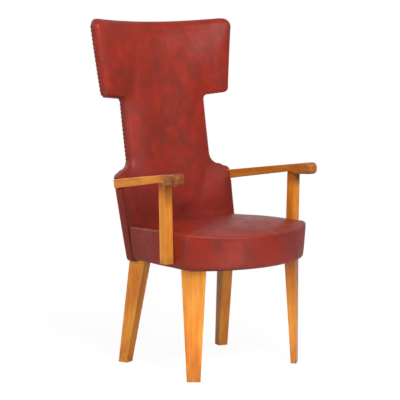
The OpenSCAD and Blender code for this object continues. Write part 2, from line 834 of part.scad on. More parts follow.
module back_pad() {
    rows = filled(half_outline(4));
    rear_of = [0, 2, 4, 6, 10];
    function columns(w) = concat([0], half_columns(w, pad_edge_r),
        [for (a = [30, 60, 90]) w - pad_edge_r * (1 - sin(a))]);
    function row_points(row) =
        let (c = columns(row[0]), z = row[1])
        concat(
            [for (i = [10:-1:1]) [-c[i], pad_front(c[i], z), dipped(c[i], z)]],
            [for (i = [0:10]) [c[i], pad_front(c[i], z), dipped(c[i], z)]],
            [for (i = [4:-1:0]) let (x = c[rear_of[i]]) [x, back_y(x, dipped(x, z)) + pad_t, dipped(x, z)]],
            [for (i = [1:4]) let (x = c[rear_of[i]]) [-x, back_y(x, dipped(x, z)) + pad_t, dipped(x, z)]]);
    n = 30;
    points = [for (r = rows) each row_points(r)];
    // Front columns run from 0 to 20 and rear columns from 21 to 29, right to left
    function cap(start) = concat(
        [for (j = [0:3]) each concat(
            [for (i = [rear_of[j]:rear_of[j + 1] - 1])
                [start + 10 + i, start + 11 + i, start + 25 - j]],
            [[start + 10 + rear_of[j + 1], start + 24 - j, start + 25 - j]])],
        [for (j = [0:3]) each concat(
            [for (i = [rear_of[j]:rear_of[j + 1] - 1])
                [start + 9 - i, start + 10 - i, start + 25 + j]],
            [[start + 26 + j, start + 10 - rear_of[j + 1], start + 25 + j]])]);
    last = (len(rows) - 1) * n;
    color(leather) placed() difference() {
        polyhedron(points, concat(
            [for (f = ring_faces(len(rows), n)) [f[2], f[1], f[0]]],
            cap(0),
            [for (f = cap(last)) [f[2], f[1], f[0]]]));
        for (side = [-1, 1]) on_side(side) arm_housing();
    }
}

module outside_back() {
    rows = filled(half_outline(2));
    y0 = back_t - leather_t;
    m = 8;
    n = 4 * m + 2;
    function row_points(row) =
        let (xs = [for (i = [-m:m]) row[0] * i / m])
        concat(
            [for (x = xs) let (z = dipped(x, row[1])) [x, back_y(x, z) + y0, z]],
            [for (i = [2 * m:-1:0]) let (x = xs[i], z = dipped(x, row[1])) [x, back_y(x, z) + back_t, z]]);
    points = [for (r = rows) each row_points(r)];
    color(leather) placed() polyhedron(points, concat(
        [for (f = ring_faces(len(rows), n)) [f[2], f[1], f[0]]],
        pair_cap(0, n, false), pair_cap((len(rows) - 1) * n, n, true)));
}

// Leather return along one side of the back and half of its upper edge
module back_return(side) {
    top_x = wing_top_x - wing_top_r;
    line = concat(filled(half_outline(3)), [for (k = [1:5]) [top_x - (top_x - fit / 2) * k / 5, chair_h]]);
    n = len(line);
    y0 = pad_t + fit;
    y1 = back_t - leather_t - fit;
    function inward(i) =
        let (d = line[min(i + 1, n - 1)] - line[max(i - 1, 0)])
        let (l = norm(d))
        [-d[1] / l, d[0] / l];
    function at(p, y) = let (z = dipped(p[0], p[1])) [p[0], back_y(p[0], z) + y, z];
    points = [for (i = [0:n - 1])
        let (p = line[i], q = line[i] + inward(i) * (leather_t - fit))
        each [at(p, y0), at(p, y1), at(q, y1), at(q, y0)]];
    color(leather) placed() on_side(side) difference() {
        polyhedron(points, concat(
            [for (f = ring_faces(n, 4)) [f[2], f[1], f[0]]],
            [[0, 1, 2], [0, 2, 3]],
            [[4 * n - 2, 4 * n - 3, 4 * n - 4], [4 * n - 1, 4 * n - 2, 4 * n - 4]]));
        arm_housing();
    }
}

// Fixings

post_bolt_rise_shares = [0.3, 0.72];
post_bolt_tip = seat_x + seat_flare + post_bolt_depth;

module post_bolt_holes() {
    for (s = post_bolt_rise_shares)
        translate([0, -post_y, seat_under_h + rail_h * s])
            rotate([0, 90, 0])
                cylinder(d = bolt_d + fit, h = post_bolt_tip + fit);
}

module post_bolts() {
    x = seat_x - rail_in - fit;
    color(steel) placed() for (side = [-1, 1]) on_side(side) for (s = post_bolt_rise_shares)
        translate([0, -post_y, seat_under_h + rail_h * s])
            rotate([0, 90, 0]) {
                translate([0, 0, x - bolt_head_t])
                    cylinder(d = bolt_head_d, h = bolt_head_t);
                translate([0, 0, x - bolt_head_t / 2])
                    cylinder(d = bolt_d, h = post_bolt_tip - x + bolt_head_t / 2);
            }
}

module leg_bolt(head_z) {
    foot_z = seat_under_h - leg_bolt_depth;
    translate([0, 0, head_z])
        cylinder(d = bolt_head_d, h = bolt_head_t);
    translate([0, 0, foot_z])
        cylinder(d = bolt_d, h = head_z - foot_z + bolt_head_t / 2);
}

module leg_bolts() {
    color(steel) placed() for (side = [-1, 1]) on_side(side) {
        translate([front_bolt_x, -front_bolt_y, 0])
            leg_bolt(seat_under_h + block_h);
        translate([rear_leg_x, rear_bolt_y, 0])
            leg_bolt(rail_top_z - bolt_head_t);
    }
}

dowel_rise_shares = [0.27, 0.67];
dowel_mid = (frame_front + frame_back) / 2;

function back_dowel_z(s) = arm_back_h - arm_back_t + arm_back_t * s;

module arm_dowel_set(grow) {
    for (s = dowel_rise_shares)
        translate([arm_back_x + dowel_depth + grow, back_y(arm_back_x, back_dowel_z(s)) + dowel_mid,
                back_dowel_z(s)])
            rotate([0, -90, 0])
                cylinder(d = dowel_d + grow, h = dowel_l + 2 * grow);
    translate([post_top_x, -post_y, post_top_z + dowel_depth - dowel_l - grow])
        cylinder(d = dowel_d + grow, h = dowel_l + 2 * grow);
}

module arm_dowel_holes() {
    arm_dowel_set(fit);
}

module arm_dowels() {
    color(beech_inside) placed() for (side = [-1, 1]) on_side(side) arm_dowel_set(0);
}

front_leg(-1);  // front_leg_left
front_leg(1);  // front_leg_right
rear_leg(-1);  // rear_leg_left
rear_leg(1);  // rear_leg_right
arm(-1);  // arm_left
arm(1);  // arm_right
arm_post(-1);  // arm_post_left
arm_post(1);  // arm_post_right
seat_front_rail();
side_rail(-1);  // seat_side_rail_left
side_rail(1);  // seat_side_rail_right
seat_rear_rail();
corner_block(-1, true);  // front_corner_block_left
corner_block(1, true);  // front_corner_block_right
corner_block(-1, false);  // rear_corner_block_left
corner_block(1, false);  // rear_corner_block_right
seat_webbing();
seat_springs();
spring_hessian();
seat_stuffing();
seat_band();
seat_pad();
dust_cover();
back_stile(-1);  // back_stile_left
back_stile(1);  // back_stile_right
back_bottom_rail();
back_lumbar_rail();
shoulder_rail(-1);  // shoulder_rail_left
shoulder_rail(1);  // shoulder_rail_right
headrest_top_rail();
headrest_low_rail(-1);  // headrest_low_rail_left
headrest_low_rail(1);  // headrest_low_rail_right
headrest_end_stile(-1);  // headrest_end_stile_left
headrest_end_stile(1);  // headrest_end_stile_right
back_webbing();
back_pad();
back_return(-1);  // back_return_left
back_return(1);  // back_return_right
outside_back();
post_bolts();
leg_bolts();
arm_dowels();
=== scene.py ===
"""Looks for the fireside chair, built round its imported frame.

The sizes of shapes are in millimetres, everything else is in metres.
"""
import math
import random

import bmesh
import bpy
from mathutils import Matrix, Vector, noise
from mathutils.geometry import delaunay_2d_cdt
from mathutils.kdtree import KDTree


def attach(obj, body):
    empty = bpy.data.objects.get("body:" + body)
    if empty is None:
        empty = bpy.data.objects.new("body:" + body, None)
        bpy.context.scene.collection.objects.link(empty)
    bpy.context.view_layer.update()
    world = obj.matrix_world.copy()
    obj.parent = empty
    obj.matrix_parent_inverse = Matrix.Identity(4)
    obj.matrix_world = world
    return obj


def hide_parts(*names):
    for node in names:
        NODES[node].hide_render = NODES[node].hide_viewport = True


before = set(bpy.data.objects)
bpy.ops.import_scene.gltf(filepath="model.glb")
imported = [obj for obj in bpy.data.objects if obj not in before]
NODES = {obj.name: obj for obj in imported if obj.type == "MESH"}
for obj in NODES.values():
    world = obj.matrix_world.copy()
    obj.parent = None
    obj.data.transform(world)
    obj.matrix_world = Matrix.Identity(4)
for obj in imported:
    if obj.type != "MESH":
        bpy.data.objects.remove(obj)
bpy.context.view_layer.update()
SCENE = bpy.context.scene
MM = 0.001
SIDE_WORD = {-1: "left", 1: "right"}
rng = random.Random(7)

# Sizes of the chair, in millimetres
CHAIR_H, UNDER_H = 1150, 363
BACK_FOOT_Y, BACK_RAKE, BEND_R, PLAN_R = 152, math.radians(13.8), 5260, 850
BACK_T, PAD_T, LEATHER_T, FIT = 35, 9.5, 2.4, 0.2
SEAT_X, BOW, SIDE_Y, CORNER_R, FLARE = 250, 100, 190, 34, 8
BAND_H, EDGE_H, EDGE_RISE, FRONT_FALL, EDGE_R, CROWN = 94, 12, 12, 10, 10, 10
BAND_TOP = UNDER_H + BAND_H
REAR_GAP, SOFT_GAP = 5, 0.8
OUTLINE_LOW, WING_H, TOP_DIP, TOP_FLAT_X = 350, 886, 11, 263
PAD_R, PAD_ROLL, PAD_CROWN, PAD_REACH = 9, 14, 16.5, 90
ARM_LOW_Z, NOTCH_LOW, ARM_HIGH_Z, ARM_IN_X = 589.8, 592.9, 624.6, 230.8
NOTCH_MID_Z, NOTCH_REACH, NOTCH_FROM_X, BEYOND_X = 607, 45, 205, 246


def part(value, start, length):
    """0 up to start, 1 from start + length on, and a straight rise between them."""
    return max(0, min(1, (value - start) / length))


def eased(t):
    return t * t * (3 - 2 * t)


def back_line(z):
    t = z - UNDER_H
    return BACK_FOOT_Y + t * math.tan(BACK_RAKE) - t * t / (2 * BEND_R)


def back_y(x, z):
    return back_line(z) - (PLAN_R - math.sqrt(PLAN_R * PLAN_R - x * x))


SHIFT_Y = (SIDE_Y + BOW + FLARE - back_y(0, CHAIR_H - TOP_DIP) - BACK_T) / 2


def linked(name, data):
    obj = bpy.data.objects.new(name, data)
    SCENE.collection.objects.link(obj)
    return obj


# Camera, fitted to the photograph
AZ, PITCH, ROLL = 0.6984231702698733, 0.12194804851706138, -0.0023232353852691884
DIST, CAM_H = 5.186830036942939, 1.1914359911280191
FOCAL_PX, SHIFT_PX = 1567.5666025205278, (9.920140783573418, -1.408957963251316)
PHOTO_PX, SENSOR = 400, 36.0

look = Vector((math.sin(AZ) * math.cos(PITCH), math.cos(AZ) * math.cos(PITCH), -math.sin(PITCH)))
right = Vector((math.cos(AZ), -math.sin(AZ), 0))
up = right.cross(look)
cos_roll, sin_roll = math.cos(ROLL), math.sin(ROLL)
right, up = right * cos_roll - up * sin_roll, right * sin_roll + up * cos_roll
cam_data = bpy.data.cameras.new("camera")
cam = linked("camera", cam_data)
cam.matrix_world = Matrix((
    (right.x, up.x, -look.x, -DIST * math.sin(AZ)),
    (right.y, up.y, -look.y, -DIST * math.cos(AZ) + SHIFT_Y * MM),
    (right.z, up.z, -look.z, CAM_H),
    (0, 0, 0, 1)))
cam_data.sensor_width = SENSOR
cam_data.lens = FOCAL_PX / PHOTO_PX * SENSOR
cam_data.shift_x = -SHIFT_PX[0] / PHOTO_PX
cam_data.shift_y = SHIFT_PX[1] / PHOTO_PX
cam_data.clip_start, cam_data.clip_end = 0.1, 60
SCENE.camera = cam


def place(x, y, z):
    """A point of the drawing, in metres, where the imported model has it."""
    return Vector((x * MM, (y + SHIFT_Y) * MM, z * MM))


def dipped(x, z):
    s = max(0, z - WING_H) / (CHAIR_H - WING_H)
    return z - TOP_DIP * s * s * (1 - x * x / TOP_FLAT_X ** 2)


def arc(cx, cy, r, a0, a1, n):
    return [(cx + r * math.cos(math.radians(a0 + (a1 - a0) * i / n)),
             cy + r * math.sin(math.radians(a0 + (a1 - a0) * i / n))) for i in range(n + 1)]


def resample(line, step):
    """The same open line with points about one step apart; its corners stay."""
    out = [line[0]]
    for a, b in zip(line, line[1:]):
        n = max(1, round(math.dist(a, b) / step))
        out += [(a[0] + (b[0] - a[0]) * k / n, a[1] + (b[1] - a[1]) * k / n) for k in range(1, n + 1)]
    return out


# Right half of the back's outline, from its foot to its top corner; a corner is a centre and a radius
FOOT_X, FOOT_Z, FOOT_R = 221, 362, 12
TIP_X, TIP_Z, TIP_R = 224, 618, 20
FOOT = arc(FOOT_X, FOOT_Z, FOOT_R, -90, 0, 8)
SHOULDER = arc(TIP_X, TIP_Z, TIP_R, 0, 90, 10)
UPPER = (arc(210, 684, 38, -90, -180, 12) + arc(188, 870, 16, 180, 90, 8)
         + arc(248, 912, 20, -90, 0, 8) + arc(263, 1120, 30, 0, 90, 10))


def side_x(z):
    """How far out the back's side is between its foot and its shoulder."""
    low, high = FOOT_X + FOOT_R, TIP_X + TIP_R
    return low + (high - low) * (z - FOOT_Z) / (TIP_Z - FOOT_Z)


def shoulder_from(z):
    """The shoulder's corner from a height on."""
    return arc(TIP_X, TIP_Z, TIP_R, math.degrees(math.asin((z - TIP_Z) / TIP_R)), 90, 9)


def closed(half):
    return [(0, OUTLINE_LOW)] + half + [(0, CHAIR_H)]


PLAIN = closed(FOOT + SHOULDER + UPPER)
ARM_NOTCH = [(ARM_IN_X, NOTCH_LOW), (ARM_IN_X, ARM_HIGH_Z)]
NOTCHED = closed(FOOT + [(side_x(NOTCH_LOW), NOTCH_LOW)] + ARM_NOTCH + shoulder_from(ARM_HIGH_Z) + UPPER)
ARM_EDGE = [(BEYOND_X, NOTCH_LOW)] + ARM_NOTCH + [(BEYOND_X, ARM_HIGH_Z)]


def seg_dist(p, a, b):
    dx, dy = b[0] - a[0], b[1] - a[1]
    t = max(0, min(1, ((p[0] - a[0]) * dx + (p[1] - a[1]) * dy) / (dx * dx + dy * dy)))
    return math.hypot(p[0] - a[0] - t * dx, p[1] - a[1] - t * dy)


def edge_dist(x, z, line=PLAIN):
    p = (abs(x), z)
    return min(seg_dist(p, a, b) for a, b in zip(line, line[1:]) if a != b)


def lip(d, r):
    """Fall of a rounded edge of radius r at the distance d from the outline."""
    return r - math.sqrt(r * r - (r - min(d, r)) ** 2)


def roll(d):
    """Fall of the pad towards its edge: a quarter of an ellipse, wider than it is deep."""
    return lip(d * PAD_R / PAD_ROLL, PAD_R)


# Distance to the outline at the nodes of a square grid, read between them
CELL, GRID_X, GRID_Z = 5, 64, 178
GRID_LOW = 330
DIST_GRID = [[edge_dist(i * CELL, GRID_LOW + k * CELL) for i in range(GRID_X)] for k in range(GRID_Z)]


def read_dist(x, z):
    u, v = abs(x) / CELL, (z - GRID_LOW) / CELL
    i, k = max(0, min(GRID_X - 2, int(u))), max(0, min(GRID_Z - 2, int(v)))
    u, v = u - i, v - k
    low, high = DIST_GRID[k], DIST_GRID[k + 1]
    return (low[i] * (1 - u) + low[i + 1] * u) * (1 - v) + (high[i] * (1 - u) + high[i + 1] * u) * v


SWELL_REACH = 70
AROUND = [(share * math.cos(math.radians(a)), share * math.sin(math.radians(a)))
          for share, turn in ((0.38, 0), (0.70, 22.5), (0.97, 0)) for a in (turn + 45 * i for i in range(8))]


def swell(x, z, d):
    """Crown of the pad; it is averaged over a disc that grows with the distance, so it has no ridges."""
    reach = min(d, SWELL_REACH)
    total = 0
    for a, b in AROUND:
        total += (1 - min(read_dist(x + a * reach, z + b * reach), PAD_REACH) / PAD_REACH) ** 2
    return PAD_CROWN * (1 - total / len(AROUND))


def soft_noise(x, y, z, size):
    return noise.noise(Vector((x / size, y / size, z / size)))


def back_front(x, z):
    """Front face of the padded back: rounded at its edges, crowned inside, and never quite even."""
    d = edge_dist(x, z)
    zz = dipped(x, z)
    calm = min(1, d / 40)
    uneven = calm * (1.1 * soft_noise(x, 3, z, 95) + 0.5 * soft_noise(x, 9, z, 38))
    notch = 0
    if abs(z - NOTCH_MID_Z) < NOTCH_REACH and abs(x) > NOTCH_FROM_X:
        notch = lip(edge_dist(x, z, ARM_EDGE), 3)
    return back_y(x, zz) + roll(d) - swell(x, z, d) + uneven + notch, zz


def new_piece(name, verts, faces, smooth=True):
    mesh = bpy.data.meshes.new(name)
    mesh.from_pydata([tuple(v) for v in verts], [], faces)
    mesh.validate()
    mesh.update()
    if smooth:
        mesh.polygons.foreach_set("use_smooth", [True] * len(mesh.polygons))
    return linked(name, mesh)


def tube(n, m, start=0):
    """Faces of a closed tube of n sections with m points each, from the point number start on."""
    ring = [(start + i * m, start + i * m + m, j, (j + 1) % m) for i in range(n - 1) for j in range(m)]
    last = start + (n - 1) * m
    return ([(a + j, a + k, b + k, b + j) for a, b, j, k in ring]
            + [tuple(range(start, start + m)), tuple(reversed(range(last, last + m)))])


def fanned_tube(n, m, start=0):
    """The same, but closed by fans to the two points that follow the tube's: past its end and its start."""
    faces, last, tip = tube(n, m, start)[:-2], start + (n - 1) * m, start + n * m
    for j in range(m):
        k = (j + 1) % m
        faces += [(last + j, last + k, tip), (start + k, start + j, tip + 1)]
    return faces


def add_float(obj, name, values):
    attr = obj.data.attributes.new(name, "FLOAT", "POINT")
    attr.data.foreach_set("value", values)


# Materials
def srgb(r, g, b):
    def lin(c):
        c /= 255
        return c / 12.92 if c <= 0.04045 else ((c + 0.055) / 1.055) ** 2.4
    return (lin(r), lin(g), lin(b), 1)


class Tree:
    """Small helper that adds nodes to the node tree of a material or of the world."""

    def __init__(self, owner):
        owner.use_nodes = True
        self.tree = owner.node_tree

    def add(self, kind, **props):
        node = self.tree.nodes.new(kind)
        for key, value in props.items():
            setattr(node, key, value)
        return node

    def set(self, node, **values):
        for key, value in values.items():
            node.inputs[key.replace("_", " ")].default_value = value

    def link(self, a, b):
        self.tree.links.new(a, b)


class Nodes(Tree):
    """One material of the chair: its shader and the textures that feed it."""

    def __init__(self, name, roughness, **sockets):
        self.mat = bpy.data.materials.new(name)
        super().__init__(self.mat)
        self.bsdf = self.tree.nodes["Principled BSDF"]
        self.set(self.bsdf, Roughness=roughness, **sockets)
        self.coords = self.add("ShaderNodeTexCoord").outputs["Object"]

    def mapping(self, scale=(1, 1, 1), location=(0, 0, 0), source=None):
        node = self.add("ShaderNodeMapping")
        node.inputs["Scale"].default_value = scale
        node.inputs["Location"].default_value = location
        self.link(source or self.coords, node.inputs["Vector"])
        return node.outputs["Vector"]

    def noise(self, scale, detail, rough, source=None, distortion=0.0):
        node = self.add("ShaderNodeTexNoise")
        self.set(node, Scale=scale, Detail=detail, Roughness=rough, Distortion=distortion)
        self.link(source or self.coords, node.inputs["Vector"])
        return node.outputs["Fac"]

    def voronoi(self, scale, feature="F1", source=None):
        node = self.add("ShaderNodeTexVoronoi", feature=feature)
        self.set(node, Scale=scale)
        self.link(source or self.coords, node.inputs["Vector"])
        return node.outputs["Distance"]

    def wave(self, scale, direction, distortion):
        node = self.add("ShaderNodeTexWave", bands_direction=direction)
        self.set(node, Scale=scale, Distortion=distortion, Detail=1.0)
        self.link(self.coords, node.inputs["Vector"])
        return node.outputs["Fac"]

    def ramp(self, source, *stops):
        node = self.add("ShaderNodeValToRGB")
        elements = node.color_ramp.elements
        for i, (pos, value) in enumerate(stops):
            element = elements[i] if i < 2 else elements.new(pos)
            element.position = pos
            element.color = value if isinstance(value, tuple) else (value, value, value, 1)
        self.link(source, node.inputs["Fac"])
        return node.outputs["Color"]

    def mix(self, fac, a, b):
        node = self.add("ShaderNodeMix", data_type="RGBA")
        for key, value in (("Factor", fac), ("A", a), ("B", b)):
            sockets = [s for s in node.inputs if s.name == key and s.enabled]
            if isinstance(value, (int, float, tuple)):
                sockets[0].default_value = value
            else:
                self.link(value, sockets[0])
        return [s for s in node.outputs if s.enabled][0]

    def math(self, op, a, b=0.0, clamp=False):
        node = self.add("ShaderNodeMath", operation=op, use_clamp=clamp)
        for i, value in enumerate((a, b)):
            if isinstance(value, (int, float)):
                node.inputs[i].default_value = value
            else:
                self.link(value, node.inputs[i])
        return node.outputs[0]

    def axis(self, which):
        node = self.add("ShaderNodeSeparateXYZ")
        self.link(self.coords, node.inputs[0])
        return node.outputs[which]

    def attribute(self, name):
        return self.add("ShaderNodeAttribute", attribute_name=name).outputs["Fac"]

    def bump(self, height, strength, distance, under=None):
        node = self.add("ShaderNodeBump")
        self.set(node, Strength=strength, Distance=distance)
        self.link(height, node.inputs["Height"])
        if under is not None:
            self.link(under, node.inputs["Normal"])
        return node.outputs["Normal"]

    def finish(self, color, normal, roughness=None):
        for value, key in ((color, "Base Color"), (normal, "Normal"), (roughness, "Roughness")):
            if value is not None:
                self.link(value, self.bsdf.inputs[key])
        return self.mat


def leather_material(name, dark, shine, low_shade_amount=0.0, dull=1.0):
    """Mottled red hide: clouds, brown blotches, flecks, pores and fine creases; painted shade darkens the
    back low down and, with some soiling, the creases along its edges.
    """
    def tone(r, g, b):
        c = srgb(r, g, b)
        return (c[0] * dark * dull, c[1] * dark, c[2] * dark, 1)
    m = Nodes(name, 0.36, Specular_IOR_Level=shine)
    clouds = m.noise(8, 4, 0.6, distortion=0.3)
    blotch = m.noise(24, 3.5, 0.6, distortion=0.9)
    fleck = m.noise(78, 3, 0.6)
    base = m.ramp(clouds, (0.34, tone(140, 39, 22)), (0.50, tone(156, 40, 22)), (0.66, tone(172, 42, 23)))
    brown = m.ramp(blotch, (0.34, 1.0), (0.52, 0.0))
    base = m.mix(m.math("MULTIPLY", brown, 0.62), base, tone(124, 41, 25))
    moved = m.mapping(location=(3, 1, 2))
    warm = m.ramp(m.noise(19, 4, 0.6, source=moved, distortion=0.7), (0.50, 0.0), (0.66, 1.0))
    base = m.mix(m.math("MULTIPLY", warm, 0.55), base, tone(182, 41, 20))
    base = m.mix(m.ramp(fleck, (0.36, 0.13), (0.60, 0.0)), base, tone(104, 34, 24))
    # Painted shade low on the back where it meets the seat, stronger on the left
    low_back_shade = m.ramp(m.axis("Z"), (0.30, low_shade_amount), (0.50, low_shade_amount), (0.56, low_shade_amount * 0.8), (0.72, 0.0))
    across = m.ramp(m.math("ADD", m.axis("X"), 0.5, True), (0.45, 1.0), (0.66, 0.35))
    base = m.mix(m.math("MULTIPLY", low_back_shade, across), base, tone(92, 14, 6))
    # Painted shade, with some soiling, in the creases and along the edges, where the edge attribute is low
    crease_shade = m.ramp(m.attribute("edge"), (0.0, 1.0), (0.12, 0.42), (0.5, 0.0))
    base = m.mix(m.math("MULTIPLY", crease_shade, 0.60), base, tone(84, 26, 20))
    pores = m.ramp(m.voronoi(900, "DISTANCE_TO_EDGE"), (0.0, 0.0), (0.12, 1.0))
    normal = m.bump(pores, 0.22, 0.0003)
    normal = m.bump(m.noise(260, 4, 0.7), 0.25, 0.0006, normal)
    normal = m.bump(m.noise(60, 3, 0.5), 0.30, 0.0012, normal)
    rough = m.ramp(m.noise(40, 4, 0.6), (0.3, 0.32), (0.7, 0.46))
    return m.finish(base, normal, rough)


def wood_material(name, grain, light, mid, dark, aged=None, rough=0.34, coat=0.12):
    """Lacquered beech: grain drawn out along one direction, short flecks, soft patches and wear."""
    m = Nodes(name, rough, Specular_IOR_Level=0.28, Coat_Weight=coat, Coat_Roughness=0.22)
    # Mapping as a texture turns the coordinates back, so the grain runs along local Z
    node = m.add("ShaderNodeMapping", vector_type="TEXTURE")
    node.inputs["Rotation"].default_value = Vector((0, 0, 1)).rotation_difference(Vector(grain)).to_euler()
    m.link(m.coords, node.inputs["Vector"])
    local = node.outputs["Vector"]
    fine = m.noise(520, 5, 0.6, source=m.mapping((1, 1, 0.03), source=local))
    broad = m.noise(95, 4, 0.6, source=m.mapping((1, 1, 0.05), source=local), distortion=0.3)
    patch = m.noise(16, 4, 0.6, source=m.mapping((1, 1, 0.35), source=local))
    base = m.ramp(patch, (0.30, dark), (0.50, mid), (0.68, light))
    base = m.mix(m.ramp(broad, (0.36, 0.42), (0.56, 0.0)), base, dark)
    base = m.mix(m.ramp(broad, (0.52, 0.0), (0.70, 0.35)), base, light)
    base = m.mix(m.ramp(fine, (0.38, 0.34), (0.56, 0.0)), base, dark)
    fleck = m.voronoi(560, source=m.mapping((1, 1, 0.14), source=local))
    deep = (dark[0] * 0.6, dark[1] * 0.5, dark[2] * 0.4, 1)
    base = m.mix(m.ramp(fleck, (0.05, 0.30), (0.15, 0.0)), base, deep)
    if aged:
        base = aged(m, base)
    normal = m.bump(fine, 0.10, 0.0004)
    normal = m.bump(broad, 0.08, 0.0008, normal)
    r = m.ramp(m.noise(70, 3, 0.6), (0.3, rough - 0.06), (0.7, rough + 0.10))
    return m.finish(base, normal, r)


def gold(light_and_shade_level):
    """The lacquer's light, middle and dark tone, scaled by a level that paints light and shade into it."""
    tones = (srgb(240, 164, 66), srgb(228, 142, 46), srgb(198, 108, 30))
    return [tuple([c * light_and_shade_level for c in tone[:3]] + [1]) for tone in tones]


def wear_and_shade(m, base, fac, tone):
    """Dark, patchy lacquer where fac is high: wear on the arms, painted shade on the posts."""
    spots = m.ramp(m.noise(40, 5, 0.65), (0.34, 1.0), (0.60, 0.55))
    return m.mix(m.math("MULTIPLY", fac, spots), base, tone)


def hand_wear(m, base):
    """Where hands rest the lacquer has gone dark, more so on the left arm."""
    along_arm = m.math("MULTIPLY", m.math("ADD", m.axis("Y"), 0.215), 8.0, True)
    near = m.ramp(along_arm, (0.50, 1.0), (0.95, 0.0))
    if "right" in m.mat.name:
        return wear_and_shade(m, base, m.math("MULTIPLY", near, 0.7), srgb(136, 66, 31))
    base = m.mix(m.ramp(along_arm, (0.10, 0.5), (0.45, 0.0)), base, srgb(96, 46, 24))
    return wear_and_shade(m, base, near, srgb(116, 58, 30))


def post_shade(m, base):
    """Painted shadow of the arm just under it, and painted shade with darker end grain at the foot of the
    post.
    """
    z = m.axis("Z")
    high = m.ramp(m.math("MULTIPLY", m.math("SUBTRACT", z, 0.585), 16.0, True), (0.0, 0.0), (0.70, 1.0))
    low = m.ramp(m.math("MULTIPLY", m.math("SUBTRACT", z, 0.378), 30.0, True), (0.0, 0.6), (0.8, 0.0))
    return wear_and_shade(m, base, m.math("MAXIMUM", high, low), srgb(132, 66, 30))


def foot_wear(m, base):
    """Scuffs and a darker tone near the floor."""
    low = m.ramp(m.math("MULTIPLY", m.axis("Z"), 9.0, True), (0.0, 1.0), (0.75, 0.0))
    spots = m.ramp(m.noise(70, 4, 0.7), (0.40, 0.9), (0.62, 0.15))
    return m.mix(m.math("MULTIPLY", m.math("MULTIPLY", low, spots), 0.6), base, srgb(132, 74, 34))


def weave_material(name, light, dark, pitch):
    """Plain woven cloth: threads over and under in two directions, on flat and on upright pieces."""
    m = Nodes(name, 0.9, Sheen_Weight=0.3, Sheen_Roughness=0.5)
    # A wave texture of scale 1 has 20 / (2 pi) bands to the metre
    bands = math.pi * 2 / pitch / 20
    warp, weft, upright = (m.wave(bands, direction, 0.4) for direction in "XYZ")
    threads = m.math("MULTIPLY", m.math("MAXIMUM", warp, upright), weft)
    slub = m.noise(300, 3, 0.6)
    base = m.mix(m.ramp(threads, (0.1, 0.0), (0.8, 1.0)), dark, light)
    base = m.mix(m.ramp(slub, (0.4, 0.35), (0.65, 0.0)), base, dark)
    normal = m.bump(threads, 0.6, pitch * 0.4)
    return m.finish(base, normal)


def steel_material():
    m = Nodes("steel_wire", 0.35, Metallic=1.0)
    drawn = m.noise(500, 3, 0.6, source=m.mapping((1, 1, 0.1)))
    spots = m.noise(60, 4, 0.7)
    base = m.ramp(drawn, (0.3, srgb(126, 128, 131)), (0.7, srgb(170, 172, 175)))
    base = m.mix(m.ramp(spots, (0.60, 0.0), (0.74, 0.6)), base, srgb(104, 78, 60))
    return m.finish(base, m.bump(drawn, 0.1, 0.0002), m.ramp(spots, (0.3, 0.28), (0.7, 0.5)))


def lining_material():
    m = Nodes("lining", 0.95, Sheen_Weight=0.2)
    fibre = m.noise(700, 4, 0.7)
    base = m.ramp(fibre, (0.3, srgb(24, 23, 24)), (0.7, srgb(50, 48, 48)))
    grid = m.math("MULTIPLY", m.wave(120, "X", 0.5), m.wave(120, "Y", 0.5))
    return m.finish(base, m.bump(m.math("ADD", fibre, grid), 0.3, 0.0004))


def fibre_material():
    """Curled stuffing fibre."""
    m = Nodes("fibre", 0.95, Sheen_Weight=0.3)
    strands = m.noise(240, 6, 0.75, distortion=2.5)
    base = m.ramp(strands, (0.3, srgb(74, 54, 36)), (0.65, srgb(150, 120, 82)))
    return m.finish(base, m.bump(strands, 0.8, 0.002))


# Copies of one hide: the seat's and the band's darker, duller tones are painted shade
LEATHER_BACK = leather_material("leather_back", dark=0.98, shine=0.35, low_shade_amount=0.56)
LEATHER_SEAT = leather_material("leather_seat", dark=0.87, shine=0.34, dull=0.93)
LEATHER_BAND = leather_material("leather_band", dark=0.82, shine=0.34, dull=0.95)
LEATHER_SIDE = leather_material("leather_side", dark=0.85, shine=0.1)
# Each part's level paints light and shade into its lacquer: the left arm and rear left leg are painted
# lighter, the right arm and the right legs darker
WOOD = {name: wood_material("beech_" + name, grain, *gold(light_and_shade_level), aged=aged, **finish)
        for name, grain, light_and_shade_level, aged, finish in (
            ("arm_left", (-0.12, -0.98, 0.14), 1.08, hand_wear, {"rough": 0.44, "coat": 0.05}),
            ("arm_right", (0.12, -0.98, 0.14), 0.80, hand_wear, {}),
            ("post_left", (0, 0, 1), 1.03, post_shade, {}),
            ("post_right", (0, 0, 1), 1.05, post_shade, {}),
            ("leg_left", (0, 0, 1), 0.89, foot_wear, {}),
            ("leg_right", (0, 0, 1), 0.76, foot_wear, {}),
            ("rear_left", (0.05, 0.16, -0.98), 1.08, foot_wear, {}),
            ("rear_right", (-0.05, 0.16, -0.98), 0.60, foot_wear, {}))}
RAW = (srgb(224, 190, 140), srgb(205, 166, 112), srgb(170, 128, 80))
RAW_UP, RAW_ACROSS, RAW_ALONG = (
    wood_material("raw_beech_" + name, grain, *RAW, rough=0.62, coat=0.0)
    for name, grain in (("upright", (0, 0.1, 1)), ("across", (1, 0, 0)), ("along", (0, 1, 0))))
HEMP = weave_material("hemp_webbing", srgb(192, 164, 116), srgb(122, 98, 62), 0.0026)
STEEL, LINING, FIBRE = steel_material(), lining_material(), fibre_material()


def dress(material, *names):
    """Gives pieces that stay as the frame has them their material."""
    for name in names:
        slots = NODES[name].data.materials
        slots.clear()
        slots.append(material)


